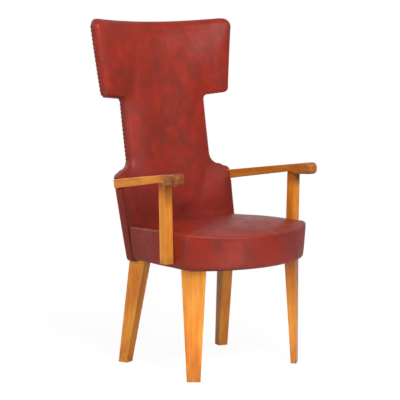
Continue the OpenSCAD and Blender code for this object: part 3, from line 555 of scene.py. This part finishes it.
def round_edges(obj, width):
    """Rounds off the edges of the show wood, as on the real chair."""
    weld = obj.modifiers.new("weld", "WELD")
    weld.merge_threshold = 0.00002
    flat = obj.modifiers.new("flat", "DECIMATE")
    flat.decimate_type, flat.angle_limit = "DISSOLVE", math.radians(1.0)
    bevel = obj.modifiers.new("bevel", "BEVEL")
    bevel.width, bevel.segments = width * MM, 4
    bevel.limit_method, bevel.angle_limit = "ANGLE", math.radians(34)
    bevel.use_clamp_overlap = True
    obj.modifiers.new("shade", "WEIGHTED_NORMAL")


dress(RAW_ACROSS, "seat_front_rail", "seat_rear_rail", "back_bottom_rail", "back_lumbar_rail",
      "headrest_top_rail", "arm_dowels")
dress(HEMP, "seat_webbing", "spring_hessian", "back_webbing")
dress(STEEL, "seat_springs", "post_bolts", "leg_bolts")
for word in SIDE_WORD.values():
    dress(RAW_ACROSS, "front_corner_block_" + word, "rear_corner_block_" + word,
          "shoulder_rail_" + word, "headrest_low_rail_" + word)
    dress(RAW_UP, "back_stile_" + word, "headrest_end_stile_" + word)
    for name, wood, width in (("arm_post_", "post_", 1.6), ("front_leg_", "leg_", 1.8),
                              ("rear_leg_", "rear_", 1.6)):
        dress(WOOD[wood + word], name + word)
        round_edges(NODES[name + word], width)


# Padded and flat sheets with the back's outline, whose rim has a point about every RUN_STEP
RUN_STEP = 6


def inset_points(line, distance):
    out, n = [], len(line)
    for i in range(n):
        a, b = line[i - 1], line[(i + 1) % n]
        dx, dy = b[0] - a[0], b[1] - a[1]
        length = math.hypot(dx, dy) or 1
        out.append((line[i][0] - dy / length * distance, line[i][1] + dx / length * distance))
    return out


def inside(x, z, half):
    x, hit = abs(x), False
    for (x0, z0), (x1, z1) in zip(half, half[1:] + half[:1]):
        if (z0 > z) != (z1 > z) and x < x0 + (z - z0) * (x1 - x0) / (z1 - z0):
            hit = not hit
    return hit


def grid_points(half, step, clear):
    """Points of a triangular grid inside the outline, clear of its edge."""
    wide = 300
    out, row, z = [], 0, OUTLINE_LOW + 2.0
    while z < CHAIR_H:
        x = -wide + (step / 2 if row % 2 else 0)
        while x < wide:
            if inside(x, z, half) and edge_dist(x, z, half) > clear:
                out.append((x, z))
            x += step
        z += step * 0.866
        row += 1
    return out


def triangulate(points, n):
    """Triangles between the points, inside the loop of the first n, and where each of those ends up."""
    flat = [Vector(p) for p in points]
    verts, _, faces, orig, _, _ = delaunay_2d_cdt(flat, [], [list(range(n))], 1, 1e-5)
    rim = {k: i for i, o in enumerate(orig) for k in o if k < n}
    return verts, [tuple(f) for f in faces], rim


def slab(name, half, rings, step, front, rear, rear_step):
    """A closed piece with the back's outline; front and rear give the two faces' depth and height."""
    run = resample(half, RUN_STEP)
    line = run + [(-x, z) for x, z in reversed(run[1:-1])]
    n = len(line)
    front_points = list(line)
    for d in rings:
        # Points that an inset puts nearer to another stretch of the edge are left out
        front_points += [p for p in inset_points(line, d) if abs(edge_dist(*p, half) - d) < 0.12 * d + 0.05]
    front_points += grid_points(half, step, rings[-1] * 1.2)
    verts, edge, faces, rims = [], [], [], []
    rear_points = line + grid_points(half, rear_step, rear_step * 0.45)
    for points, shape in ((front_points, front), (rear_points, rear)):
        start = len(verts)
        flat, triangles, rim = triangulate(points, n)
        for v in flat:
            y, zz = shape(v.x, v.y)
            verts.append(place(v.x, y, zz))
            # Painted shade: the edge goes dark only low down, in the crease beside the seat
            above_crease = part(v.y, BAND_TOP + 12, 12)
            edge.append(min(1, edge_dist(v.x, v.y) / 30 + 0.3 * above_crease))
        faces += [tuple(start + i for i in f) for f in triangles]
        rims.append([start + rim[k] for k in range(n)])
    for k in range(n):
        j = (k + 1) % n
        faces.append((rims[0][k], rims[0][j], rims[1][j], rims[1][k]))
    obj = new_piece(name, verts, faces)
    add_float(obj, "edge", edge)
    return obj


def outward(obj):
    """All faces the same way round, outwards."""
    bm = bmesh.new()
    bm.from_mesh(obj.data)
    bmesh.ops.recalc_face_normals(bm, faces=bm.faces)
    bm.to_mesh(obj.data)
    bm.free()


# Cloth simulation: size of the remeshed copy's faces, last frame, smoothing and points read round each point
VOXEL, LAST_FRAME, SMOOTH_ROUNDS, NEAREST = 0.008, 20, 4, 6


def evaluated(obj):
    return obj.evaluated_get(bpy.context.evaluated_depsgraph_get())


def smoothed(moves, edges):
    """Each point's move averaged with those of the points it shares an edge with."""
    total, count = [m.copy() for m in moves], [1] * len(moves)
    for e in edges:
        a, b = e.vertices
        total[a] += moves[b]
        total[b] += moves[a]
        count[a] += 1
        count[b] += 1
    return [t / c for t, c in zip(total, count)]


def puffed(obj, held, cap):
    """Fills a cushion by a short cloth simulation under pressure; no point of it moves further than cap.

    The simulation runs on a remeshed copy, and its smoothed moves are laid on the cushion's own points.
    """
    proxy = linked("cloth_proxy", obj.data.copy())
    remesh = proxy.modifiers.new("remesh", "REMESH")
    remesh.mode, remesh.voxel_size = "VOXEL", VOXEL
    body = bpy.data.meshes.new_from_object(evaluated(proxy))
    proxy.modifiers.clear()
    proxy.data = body
    rest = [v.co.copy() for v in body.vertices]
    group = proxy.vertex_groups.new(name="held")
    for i, co in enumerate(rest):
        group.add([i], held(co), "REPLACE")
    cloth = proxy.modifiers.new("cloth", "CLOTH")
    settings = cloth.settings
    settings.quality, settings.mass, settings.vertex_group_mass = 6, 0.3, "held"
    settings.tension_stiffness = settings.compression_stiffness = 30
    settings.shear_stiffness, settings.bending_stiffness = 15, 4
    settings.use_pressure, settings.uniform_pressure_force = True, 4
    settings.effector_weights.gravity = 0
    cloth.collision_settings.use_collision = False
    cloth.point_cache.frame_start, cloth.point_cache.frame_end = 1, LAST_FRAME
    for frame_number in range(1, LAST_FRAME + 1):
        SCENE.frame_set(frame_number)
    shaped = evaluated(proxy).data
    moves = []
    for v, co in zip(shaped.vertices, rest):
        move = v.co - co
        moves.append(move * min(1, cap / max(move.length, 1e-9)) * (1 - held(co)))
    for _ in range(SMOOTH_ROUNDS):
        moves = smoothed(moves, body.edges)
    tree = KDTree(len(rest))
    for i, co in enumerate(rest):
        tree.insert(co, i)
    tree.balance()
    for v in obj.data.vertices:
        near = [(i, 1 / (d + MM)) for _, i, d in tree.find_n(v.co, NEAREST)]
        weight = sum(w for _, w in near)
        v.co += sum((moves[i] * w for i, w in near), Vector()) / weight * (1 - held(v.co))
    SCENE.frame_set(1)
    bpy.data.objects.remove(proxy)


def fit(obj, material, slot, *nodes):
    """What every new piece needs: closed outward faces, a material, its body and its nodes; the slot is not
    used.
    """
    outward(obj)
    obj.data.materials.append(material)
    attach(obj, "root")
    if nodes:
        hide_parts(*nodes)
    return obj


def drawing_point(co):
    """The place of a point in the drawing, in millimetres."""
    return co.x / MM, co.y / MM - SHIFT_Y, co.z / MM


def pad_rear(x, z):
    zz = dipped(x, z)
    return back_y(x, zz) + PAD_T, zz


def back_held(co):
    """1 where the back's cover is nailed down or lies on the frame, 0 where the padding can swell."""
    x, y, z = drawing_point(co)
    edge = 1 - part(edge_dist(x, z), 6, 16)
    behind = part(y - back_y(x, z), -1, 5)
    # The arm's notch is a strip 40 mm high from 228 mm outwards
    to_arm = math.hypot(max(0, 228 - abs(x)), max(0, abs(z - NOTCH_MID_Z) - 20))
    seat = 1 - part(z, 488, 12)
    return max(edge, behind, 1 - part(to_arm, 4, 12), seat)


back = slab("back_cushion", NOTCHED, (0.7, 1.8, 3.4, 5.6, 8.4, 12, 17, 24), 11, back_front, pad_rear, 28)
puffed(back, back_held, 0.004)
fit(back, LEATHER_BACK, "red_leather", "back_pad")


# Leather round the sides and the rear of the back
def half_normals(line):
    out = []
    for i in range(len(line)):
        a, b = line[max(i - 1, 0)], line[min(i + 1, len(line) - 1)]
        dx, dz = b[0] - a[0], b[1] - a[1]
        length = math.hypot(dx, dz)
        out.append((dz / length, -dx / length))
    return out


TOP_RUN = [(k, CHAIR_H) for k in (210, 157, 105, 52, 0.1)]


def strip_runs():
    """The outline below and above the place where the arm's rear end is let in."""
    low = FOOT + [(side_x(ARM_LOW_Z), ARM_LOW_Z)]
    high = shoulder_from(ARM_HIGH_Z + FIT) + UPPER + TOP_RUN
    return resample(low, RUN_STEP), resample(high, RUN_STEP)


def back_side(side):
    """The strip that covers the edge of the back on one side, turned round the rear corner."""
    # Section of the strip: how far back, and how far out from the outline
    outer = [(PAD_T + 0.1, -0.25), (PAD_T + 0.7, 0.05), (13, 0.35), (18, 0.6), (24, 0.55), (29, 0.3),
             (31.4, -0.1), (33.0, -1.2), (33.6, -2.4)]
    wavy = (2, 3, 4, 5)
    inner = [(32.2, -2.4), (30.2, -2.2), (22, -2.1), (PAD_T + 0.1, -2.1)]
    section = outer + inner
    m = len(section)
    verts, edge, faces = [], [], []
    for line in strip_runs():
        start = len(verts)
        for (x, z), (nx, nz) in zip(line, half_normals(line)):
            wave = 0.25 * soft_noise(x, 5, z, 26)
            for j, (y, out) in enumerate(section):
                o = out + (wave if j in wavy else 0)
                px, pz = max(0.05, x + nx * o), z + nz * o
                zz = dipped(px, pz)
                verts.append(place(side * px, back_y(px, zz) + y, zz))
                edge.append(min(1, 0.35 + abs(34 - y) / 30) if j < len(outer) else 0)
        faces += tube(len(line), m, start)
    obj = new_piece("back_side_" + SIDE_WORD[side], verts, faces)
    add_float(obj, "edge", edge)
    return obj


for side, word in SIDE_WORD.items():
    strip = fit(back_side(side), LEATHER_BACK, "red_leather", "back_return_" + word)
    # Its top run faces the light; it takes a duller, darker copy of the hide, painted shade
    strip.data.materials.append(LEATHER_SIDE)
    for face in strip.data.polygons:
        face.material_index = int(face.normal.z > 0.6 and face.center.z > 1.1)


def panel_rear(x, z):
    """Rear face of the outside cover: tight over the frame with a slight belly and rolled edges."""
    d = edge_dist(x, z)
    zz = dipped(x, z)
    belly = 1.2 * (1 - (1 - min(d, 120) / 120) ** 2) * (1 + soft_noise(x, 1, z, 120))
    return back_y(x, zz) + BACK_T - 0.1 - lip(d, 2.2) * 0.9 + belly, zz


def panel_front(x, z):
    zz = dipped(x, z)
    return back_y(x, zz) + BACK_T - LEATHER_T + 0.2, zz


panel = slab("outside_back_cover", PLAIN, (0.6, 1.2, 2.4, 4.5, 8, 14, 22), 16, panel_rear, panel_front, 30)
fit(panel, LEATHER_SIDE, "red_leather", "outside_back")


# Arms: their underside, inner side and width are tables along Y
ARM_Y, ARM_H, ARM_SLOPE, ARM_FOOT_SLOPE = 204.96, 620, math.tan(math.radians(7.9)), 0.2
POST_Y, POST_FRONT, POST_REAR, POST_TOP = -110, -125.7, -94.5, 637.55
HAND_END, HAND_LOW, NOSE_Y, NOSE_LOW, NOSE_R = -201, 631.55, -182, 634.5, 15.5
SIDE_NOSE_L, SIDE_NOSE_CUT = 17, 9
UNDERSIDE_Y = 198.97
ARM_LOW = ((UNDERSIDE_Y, 590), (POST_REAR, POST_TOP), (POST_FRONT + 0.3, POST_TOP), (POST_FRONT, HAND_LOW),
           (NOSE_Y, NOSE_LOW))
ARM_IN = ((ARM_Y, 231), (POST_Y, 259), (HAND_END, 268))
ARM_W = ((ARM_Y, 18), (POST_Y, 34), (HAND_END, 38))
REAR_CUTS = (1.6, 0.9, 0.35, 0.0)


def along(table, y):
    """Straight-line reading of a table whose first column falls."""
    for (y0, v0), (y1, v1) in zip(table, table[1:]):
        if y >= y1:
            return v0 + (v1 - v0) * (y0 - y) / (y0 - y1)
    return table[-1][1]


def arm_stations():
    """Where along Y the arm has a section: close together where its shape changes."""
    ys = [ARM_Y - k for k in (0, 0.25, 0.9, 2.0, 4)] + [ARM_Y - 4 - 12 * k for k in range(1, 25)]
    ys = [y for y in ys if y > POST_REAR + 3]
    ys += [POST_REAR, -100, -106, -112, -118, -123, POST_FRONT + 0.3, POST_FRONT, POST_FRONT - 0.8]
    ys += [-130, -137, -145, -153, -161, -168, -174, -179, -182, -184]
    return ys + [HAND_END + NOSE_R * (1 - math.sin(math.radians(a))) for a in range(0, 91, 9)]


def rounding(y, length, depth):
    """How deep the hand's rounded end cuts in at y."""
    u = 1 - part(y, HAND_END, length)
    return depth * (1 - math.sqrt(max(0, 1 - u * u)))


def arm_piece(side):
    """The arm from its sloped rear end to the rounded hand: rounded sections joined along its length."""
    ys = arm_stations()
    verts, seg = [], 6
    for i, y in enumerate(ys):
        zt = ARM_H + (ARM_Y - max(y, NOSE_Y)) * ARM_SLOPE
        zb = along(ARM_LOW, min(y, UNDERSIDE_Y))
        xi = along(ARM_IN, y)
        w = along(ARM_W, y)
        hand = eased(1 - part(y, POST_Y - 66, 60))
        cut, side_cut = rounding(y, NOSE_R, NOSE_R), rounding(y, SIDE_NOSE_L, SIDE_NOSE_CUT)
        if i < len(REAR_CUTS):
            cut = REAR_CUTS[i]
            side_cut = cut
        zt, zb, xi, w = zt - cut, zb + cut, xi + side_cut, w - 2 * side_cut
        most = min(w, zt - zb) * 0.499
        r_top, r_low = min(3.0 + 6.5 * hand, most), min(2.6 + 6.0 * hand, most)
        xo = xi + w
        for cx, cz, r, a0 in ((xo - r_low, zb + r_low, r_low, -90), (xo - r_top, zt - r_top, r_top, 0),
                              (xi + r_top, zt - r_top, r_top, 90), (xi + r_low, zb + r_low, r_low, 180)):
            for x, z in arc(cx, cz, r, a0, a0 + 90, seg):
                lean = ARM_FOOT_SLOPE * (ARM_H - z) * part(y, 150, 50)
                verts.append(place(side * x, y - lean, z))
    return new_piece("arm_" + SIDE_WORD[side] + "_shaped", verts, tube(len(ys), 4 * (seg + 1)))


for side, word in SIDE_WORD.items():
    arm = fit(arm_piece(side), WOOD["arm_" + word], "beech", "arm_" + word)
    arm.modifiers.new("shade", "WEIGHTED_NORMAL")


# Seat
BOW_R = (SEAT_X ** 2 + BOW ** 2) / (2 * BOW)
BOW_Y = BOW_R - SIDE_Y - BOW
PEAK_Y, CROWN_RINGS, CROWN_POWER = -SIDE_Y / 2, 30, 2.4


def seat_rise(y):
    """How far the band and the cushion's edge have risen at y; they fall again at the front."""
    back = math.radians(90 * part(-y, -BACK_FOOT_Y, BACK_FOOT_Y + SIDE_Y))
    return EDGE_RISE * math.sin(back) - FRONT_FALL * part(-y, SIDE_Y, BOW)


# The seat narrows over its last part, so that it meets the back flush with the back's side
TAPER, TAPER_Y, REAR_R = 12, -60, 8


def narrowed(y, end):
    return TAPER * eased(part(y, TAPER_Y, end - TAPER_Y))


def seat_edge(grow, z, rear, base, side_n=24, corner_n=10, bow_n=90):
    """The seat's plan from its left rear corner round the front; base is the growth lost at the rear."""
    hx, r, c = SEAT_X + grow, BOW_R + grow, CORNER_R
    cy = BOW_Y - math.sqrt((r - c) ** 2 - (hx - c) ** 2)
    a = 180 + math.degrees(math.atan((BOW_Y - cy) / (hx - c)))
    end = back_y(hx - TAPER, z) - rear
    side_end = end - REAR_R
    lost = (TAPER + base) / TAPER
    left = [(-x, y) for x, y in arc(hx - TAPER - base - REAR_R, side_end, REAR_R, 90, 0, 6)][:-1]
    left += [(-hx + lost * narrowed(y, side_end), y)
             for y in (side_end + (cy - side_end) * i / side_n for i in range(side_n))]
    left += arc(-hx + c, cy, c, 180, a, corner_n)
    bow = [(r * math.cos(math.radians(t)), BOW_Y + r * math.sin(math.radians(t)))
           for t in (a + (540 - 2 * a) * i / bow_n for i in range(1, bow_n))]
    return left + bow + [(-x, y) for x, y in reversed(left)]


def seat_ring(grow, z):
    """One closed line round the cushion: its plan, and a rear edge that follows the padded back."""
    rear_n, foot_x = 60, FOOT_X + FOOT_R
    line = seat_edge(grow, z, REAR_GAP + SOFT_GAP, FLARE)
    hx = line[-1][0]
    for i in range(1, rear_n):
        x = hx - 2 * hx * i / rear_n
        limit = back_y(x, z) - REAR_GAP
        if abs(x) < foot_x:
            limit = min(limit, back_front(x, z + 2)[0] - 2 * SOFT_GAP)
        line.append((x, limit))
    return [(x, y, z + seat_rise(y)) for x, y in line]


def seat_uneven(x, y):
    return 1.3 * soft_noise(x, y, 4, 110) + 0.6 * soft_noise(x, y, 8, 45)


def seat_cover():
    """The padded top: its edge rolls over from the band, and the crown rises towards the middle."""
    z0 = BAND_TOP + FIT
    rows = [(FLARE - 3.0, 0.0), (FLARE - 0.25, 0.05), (FLARE - 0.05, 0.5), (FLARE, 1.8)]
    upright = len(rows)
    for a in range(5, 96, 10):
        t = math.radians(min(a, 90))
        rows.append((FLARE - EDGE_R * (1 - math.cos(t)), EDGE_H - EDGE_R * (1 - math.sin(t))))
    rings = [seat_ring(grow, z0 + lift) for grow, lift in rows]
    top = rings[-1]
    peak_z = z0 + EDGE_H + seat_rise(PEAK_Y) + CROWN
    for k in range(1, CROWN_RINGS):
        s = k / CROWN_RINGS
        f = 1 - (1 - s) ** CROWN_POWER
        rings.append([(x * (1 - s), PEAK_Y + (y - PEAK_Y) * (1 - s), z + (peak_z - z) * f)
                      for x, y, z in top])
    verts, edge = [], []
    for k, r in enumerate(rings):
        inner = max(0, k - len(rows) + 1) / CROWN_RINGS
        # The rolled edge at the front is a little lumpy
        lumpy = max(0, 1 - inner * 4) if k >= upright else 0
        for x, y, z in r:
            lump = 1.2 * soft_noise(x, y, 2, 75) * part(-y, 60, 120) * lumpy
            verts.append(place(x, y, z + min(1, inner * 6) * seat_uneven(x, y) + lump))
            # Painted shade in the groove where the cushion's lower rows meet the band
            edge.append(0.45 + 0.55 * min(1, k / upright))
    verts.append(place(0, PEAK_Y, peak_z + seat_uneven(0, PEAK_Y)))
    verts.append(place(0, PEAK_Y, z0))
    obj = new_piece("seat_cushion", verts, fanned_tube(len(rings), len(top)))
    add_float(obj, "edge", edge + [1, 1])
    return obj


def seat_held(co):
    """1 along the seat's lower edge, its underside and its rear edge, 0 on the free top."""
    x, y, z = drawing_point(co)
    low = 1 - part(z - seat_rise(y), BAND_TOP + 2, 7)
    rear = 1 - part(back_y(x, z) - y, REAR_GAP + 6, 16)
    return max(low, rear)


seat = seat_cover()
puffed(seat, seat_held, 0.003)
fit(seat, LEATHER_SEAT, "red_leather", "seat_pad")


def seat_border():
    """The band round the front and the sides, drawn tight over its edges, with a turned-under lower edge."""
    # Section of the band: share of its height, and how far out from the plan
    section = [(0.0, -6.5), (0.0, -2.0), (0.02, -0.4), (0.06, 0.35), (0.2, 0.9), (0.5, 1.1), (0.8, 0.6),
               (0.94, 0.2), (0.99, 0.0), (1.0, -0.35), (1.0, -6.5)]
    low = seat_edge(0, UNDER_H, REAR_GAP, 0)
    high = seat_edge(FLARE, BAND_TOP, REAR_GAP, FLARE)
    n = len(low)
    verts, edge = [], []
    for i in range(n):
        a, b = low[max(i - 1, 0)], low[min(i + 1, n - 1)]
        dx, dy = b[0] - a[0], b[1] - a[1]
        length = math.hypot(dx, dy)
        behind = min(i, n - 1 - i)
        share = 0.5 if behind < 3 else 1
        nx, ny = dy / length * share, -dx / length * share
        top = BAND_TOP + seat_rise(high[i][1])
        for s, out in section:
            x = low[i][0] + (high[i][0] - low[i][0]) * s
            y = low[i][1] + (high[i][1] - low[i][1]) * s
            wave = 0.5 * soft_noise(x, y, 60 * s, 60) if 0.05 < s < 0.95 else 0
            verts.append(place(x + nx * (out + wave), y + ny * (out + wave), UNDER_H + (top - UNDER_H) * s))
            # Painted shade at the band's lower and upper edges and at its rear ends beside the back
            edge.append(min(1, s * 4, 0.6 + (1 - s) * 2, max(0, behind - 4) * 0.4) if out > -6 else 0)
    obj = new_piece("seat_border", verts, tube(n, len(section)))
    add_float(obj, "edge", edge)
    return obj


fit(seat_border(), LEATHER_BAND, "red_leather", "seat_band")


# Rails and stuffing under the cover, which follow the narrowed plan
BEVEL_W = 0.0012


def prism(name, outline, z0, z1):
    """An upright block with the given plan, its edges slightly rounded."""
    n = len(outline)
    verts = [place(x, y, z) for z in (z0, z1) for x, y in outline]
    faces = [tuple(range(n)), tuple(range(n, 2 * n))]
    faces += [(k, (k + 1) % n, n + (k + 1) % n, n + k) for k in range(n)]
    obj = new_piece(name, verts, faces, smooth=False)
    bevel = obj.modifiers.new("bevel", "BEVEL")
    bevel.width, bevel.segments = BEVEL_W, 2
    bevel.limit_method, bevel.angle_limit = "ANGLE", math.radians(40)
    return obj


RAIL_OUT, RAIL_IN_X, RAIL_H, RAIL_END_Y, RAIL_FRONT_Y = 7.2, 220.8, 66, 103, -189.8
STUFFING_LOW, STUFFING_TOP, STUFFING_REAR_Z = 430.8, 456.8, 430
COVER_INNER_X = 218
for side, word in SIDE_WORD.items():
    outer = [(SEAT_X - RAIL_OUT - narrowed(y, RAIL_END_Y), y)
             for y in (-186.8, -100, -60, -30, 0, 30, 55, 80, RAIL_END_Y, 111.4)]
    outline = [(RAIL_IN_X, RAIL_FRONT_Y), (239.6, RAIL_FRONT_Y)] + outer + [(RAIL_IN_X, 117.7)]
    outline = [(side * x, y) for x, y in outline]
    rail = prism("side_rail_" + word + "_shaped", outline, UNDER_H, UNDER_H + RAIL_H)
    fit(rail, RAW_ALONG, "frame_beech", "seat_side_rail_" + word)
# The dust cover keeps its leg cut-outs; only its outer edge moves in
cover = NODES["dust_cover"].data
verts = []
for v in cover.vertices:
    x, y, z = drawing_point(v.co)
    inward = narrowed(y, RAIL_END_Y) if abs(x) > COVER_INNER_X else 0
    verts.append(place(math.copysign(abs(x) - inward, x), y, z))
cover = new_piece("dust_cover_shaped", verts, [tuple(p.vertices) for p in cover.polygons], smooth=False)
fit(cover, LINING, "black_cloth", "dust_cover")
plan = seat_edge(-RAIL_OUT, UNDER_H, REAR_GAP, -RAIL_OUT, 8, 2, 30)
rear = [(x, back_y(x, STUFFING_REAR_Z) - REAR_GAP - 6) for x in range(200, -201, -50)]
fit(prism("stuffing_shaped", plan + rear, STUFFING_LOW, STUFFING_TOP), FIBRE, "hemp", "seat_stuffing")


# Nails along the rear edges
def dome(verts, faces, centre, axis, radius, height):
    """One domed nail head, added to lists of points and faces."""
    quat = Vector((0, 0, 1)).rotation_difference(axis)
    rings = [(1.0, -0.25), (1.0, 0.0), (0.93, 0.30), (0.78, 0.58), (0.52, 0.83), (0.25, 0.96)]
    seg, start = 12, len(verts)
    for share, rise in rings:
        for k in range(seg):
            t = 2 * math.pi * k / seg
            p = Vector((math.cos(t) * radius * share, math.sin(t) * radius * share, rise * height))
            verts.append(centre + quat @ p)
    verts.append(centre + quat @ Vector((0, 0, height)))
    verts.append(centre + quat @ Vector((0, 0, -0.25 * height)))
    faces += fanned_tube(len(rings), seg, start)


NAIL_PITCH, NAIL_R, NAIL_H, NAIL_IN, NAIL_START = 14.0, 5.3, 3.6, 5.0, 6.0
ROWS_MEET_X, ARM_FROM_X = 6, 220


def nail_material():
    m = Nodes("nail_heads", 0.38, Specular_IOR_Level=0.5)
    spots = m.noise(120, 4, 0.6)
    base = m.ramp(spots, (0.32, srgb(78, 28, 24)), (0.68, srgb(128, 44, 34)))
    return m.finish(base, m.bump(m.noise(700, 3, 0.6), 0.2, 0.0002))


def nail_row(side):
    """The nails of one side, from the shoulder up and over to the middle of the top edge."""
    verts, faces = [], []
    line = resample(SHOULDER + UPPER + TOP_RUN, 1.0)
    walked, due = 0.0, NAIL_START
    normals = half_normals(line)
    for i in range(1, len(line)):
        walked += math.dist(line[i - 1], line[i])
        if walked < due:
            continue
        due += NAIL_PITCH
        x, z = line[i]
        nx, nz = normals[i]
        # No head where the two rows meet, nor where the arm's end is let in
        if x < ROWS_MEET_X or (x > ARM_FROM_X and ARM_LOW_Z - 6 < z < ARM_HIGH_Z + 5):
            continue
        zz = dipped(x, z)
        # On the top run the heads sit on the corner itself, sunk so that nothing stands above the chair
        upward = max(0, nz)
        tilt = math.radians(18 + 32 * upward)
        sink = 4.3 * upward
        depth = back_y(x, zz) + BACK_T - NAIL_IN + 1.6 * upward
        centre = place(side * (x - nx * sink), depth, zz - sink * nz)
        axis = (Vector((side * nx, 0, nz)) * math.cos(tilt) + Vector((0, math.sin(tilt), 0))).normalized()
        scale = (1 + 0.06 * (rng.random() - 0.5)) * (0.84 if nz > 0.5 else 1) * MM
        dome(verts, faces, centre - axis * FIT * MM, axis, NAIL_R * scale, NAIL_H * scale)
    return new_piece("back_nails_" + SIDE_WORD[side], verts, faces)


NAILS = nail_material()
for side in SIDE_WORD:
    fit(nail_row(side), NAILS, "red_leather")

# Floor, world and lamps
class Backdrop(Tree):
    """The shaders of the floor or of the world."""

    def __init__(self, owner):
        super().__init__(owner)
        self.tree.nodes.clear()

    def shader(self, kind, grey, **values):
        node = self.add(kind)
        self.set(node, Color=(grey, grey, grey, 1), **values)
        return node

    def joined(self, fac, a, b):
        node = self.add("ShaderNodeMixShader")
        self.link(fac, node.inputs["Fac"])
        self.link(a.outputs[0], node.inputs[1])
        self.link(b.outputs[0], node.inputs[2])
        return node


FLOOR_REACH, FADE_NEAR, FADE_FAR = 9, 0.5, 1.6
corners = [(x * FLOOR_REACH, y * FLOOR_REACH, 0) for x, y in ((-1, -1), (1, -1), (1, 1), (-1, 1))]
floor = new_piece("floor", corners, [(0, 1, 2, 3)], smooth=False)
floor_look = bpy.data.materials.new("floor")
ground = Backdrop(floor_look)
# The camera sees a nearly white floor that keeps a faint shadow; other rays see plain pale boards
plain = ground.shader("ShaderNodeBsdfDiffuse", 0.80)
shaded = ground.shader("ShaderNodeBsdfDiffuse", 0.17)
glow = ground.shader("ShaderNodeEmission", 1, Strength=0.90)
seen = ground.add("ShaderNodeAddShader")
ground.link(shaded.outputs[0], seen.inputs[0])
ground.link(glow.outputs[0], seen.inputs[1])
# Away from the chair the floor fades into plain white
far = ground.shader("ShaderNodeEmission", 1, Strength=1.0)
away = ground.add("ShaderNodeVectorMath", operation="LENGTH")
ground.link(ground.add("ShaderNodeTexCoord").outputs["Object"], away.inputs[0])
fade = ground.add("ShaderNodeMapRange", interpolation_type="SMOOTHSTEP")
ground.set(fade, From_Min=FADE_NEAR, From_Max=FADE_FAR)
ground.link(away.outputs["Value"], fade.inputs["Value"])
seen = ground.joined(fade.outputs["Result"], seen, far)
rays = ground.add("ShaderNodeLightPath")
surface = ground.joined(rays.outputs["Is Camera Ray"], plain, seen)
ground.link(surface.outputs[0], ground.add("ShaderNodeOutputMaterial").inputs["Surface"])
floor.data.materials.append(floor_look)

world = bpy.data.worlds.new("world")
SCENE.world = world
sky = Backdrop(world)
dim = sky.shader("ShaderNodeBackground", 1, Strength=0.26)
white = sky.shader("ShaderNodeBackground", 1, Strength=1.0)
# Glossy rays see the white backdrop behind the chair and a darker room in front of it
studio = sky.shader("ShaderNodeBackground", 1)
parts = sky.add("ShaderNodeSeparateXYZ")
sky.link(sky.add("ShaderNodeTexCoord").outputs["Generated"], parts.inputs[0])
rearward = sky.add("ShaderNodeMapRange")
sky.set(rearward, From_Min=-0.7, From_Max=0.1, To_Min=0.12, To_Max=0.7)
sky.link(parts.outputs["Y"], rearward.inputs["Value"])
sky.link(rearward.outputs["Result"], studio.inputs["Strength"])
rays = sky.add("ShaderNodeLightPath")
unseen = sky.joined(rays.outputs["Is Glossy Ray"], dim, studio)
surface = sky.joined(rays.outputs["Is Camera Ray"], unseen, white)
sky.link(surface.outputs[0], sky.add("ShaderNodeOutputWorld").inputs["Surface"])


def lamp(name, location, target, size, power):
    data = bpy.data.lights.new(name, "AREA")
    data.shape, data.size, data.energy = "SQUARE", size, power
    obj = linked(name, data)
    obj.location = location
    obj.rotation_mode = "QUATERNION"
    obj.rotation_quaternion = (Vector(target) - Vector(location)).to_track_quat("-Z", "Y")
    return obj


lamp("key", (-0.68, -1.90, 2.35), (0, 0, 0.75), 0.5, 35)
lamp("front", (0.75, -2.4, 2.1), (0, 0.1, 0.9), 0.8, 20)
lamp("fill", (-3.2, -0.3, 1.6), (0, 0, 0.7), 1.6, 40)
lamp("rear", (-0.4, 3.4, 1.9), (0, 0, 0.7), 1.6, 16)
# Stands for the light that a pale sweep throws back under the seat
low = lamp("low", (-0.2, -2.3, 0.14), (0, 0, 0.08), 0.25, 0.8)
low.data.spread = math.radians(21)
SCENE.view_settings.view_transform = "Standard"
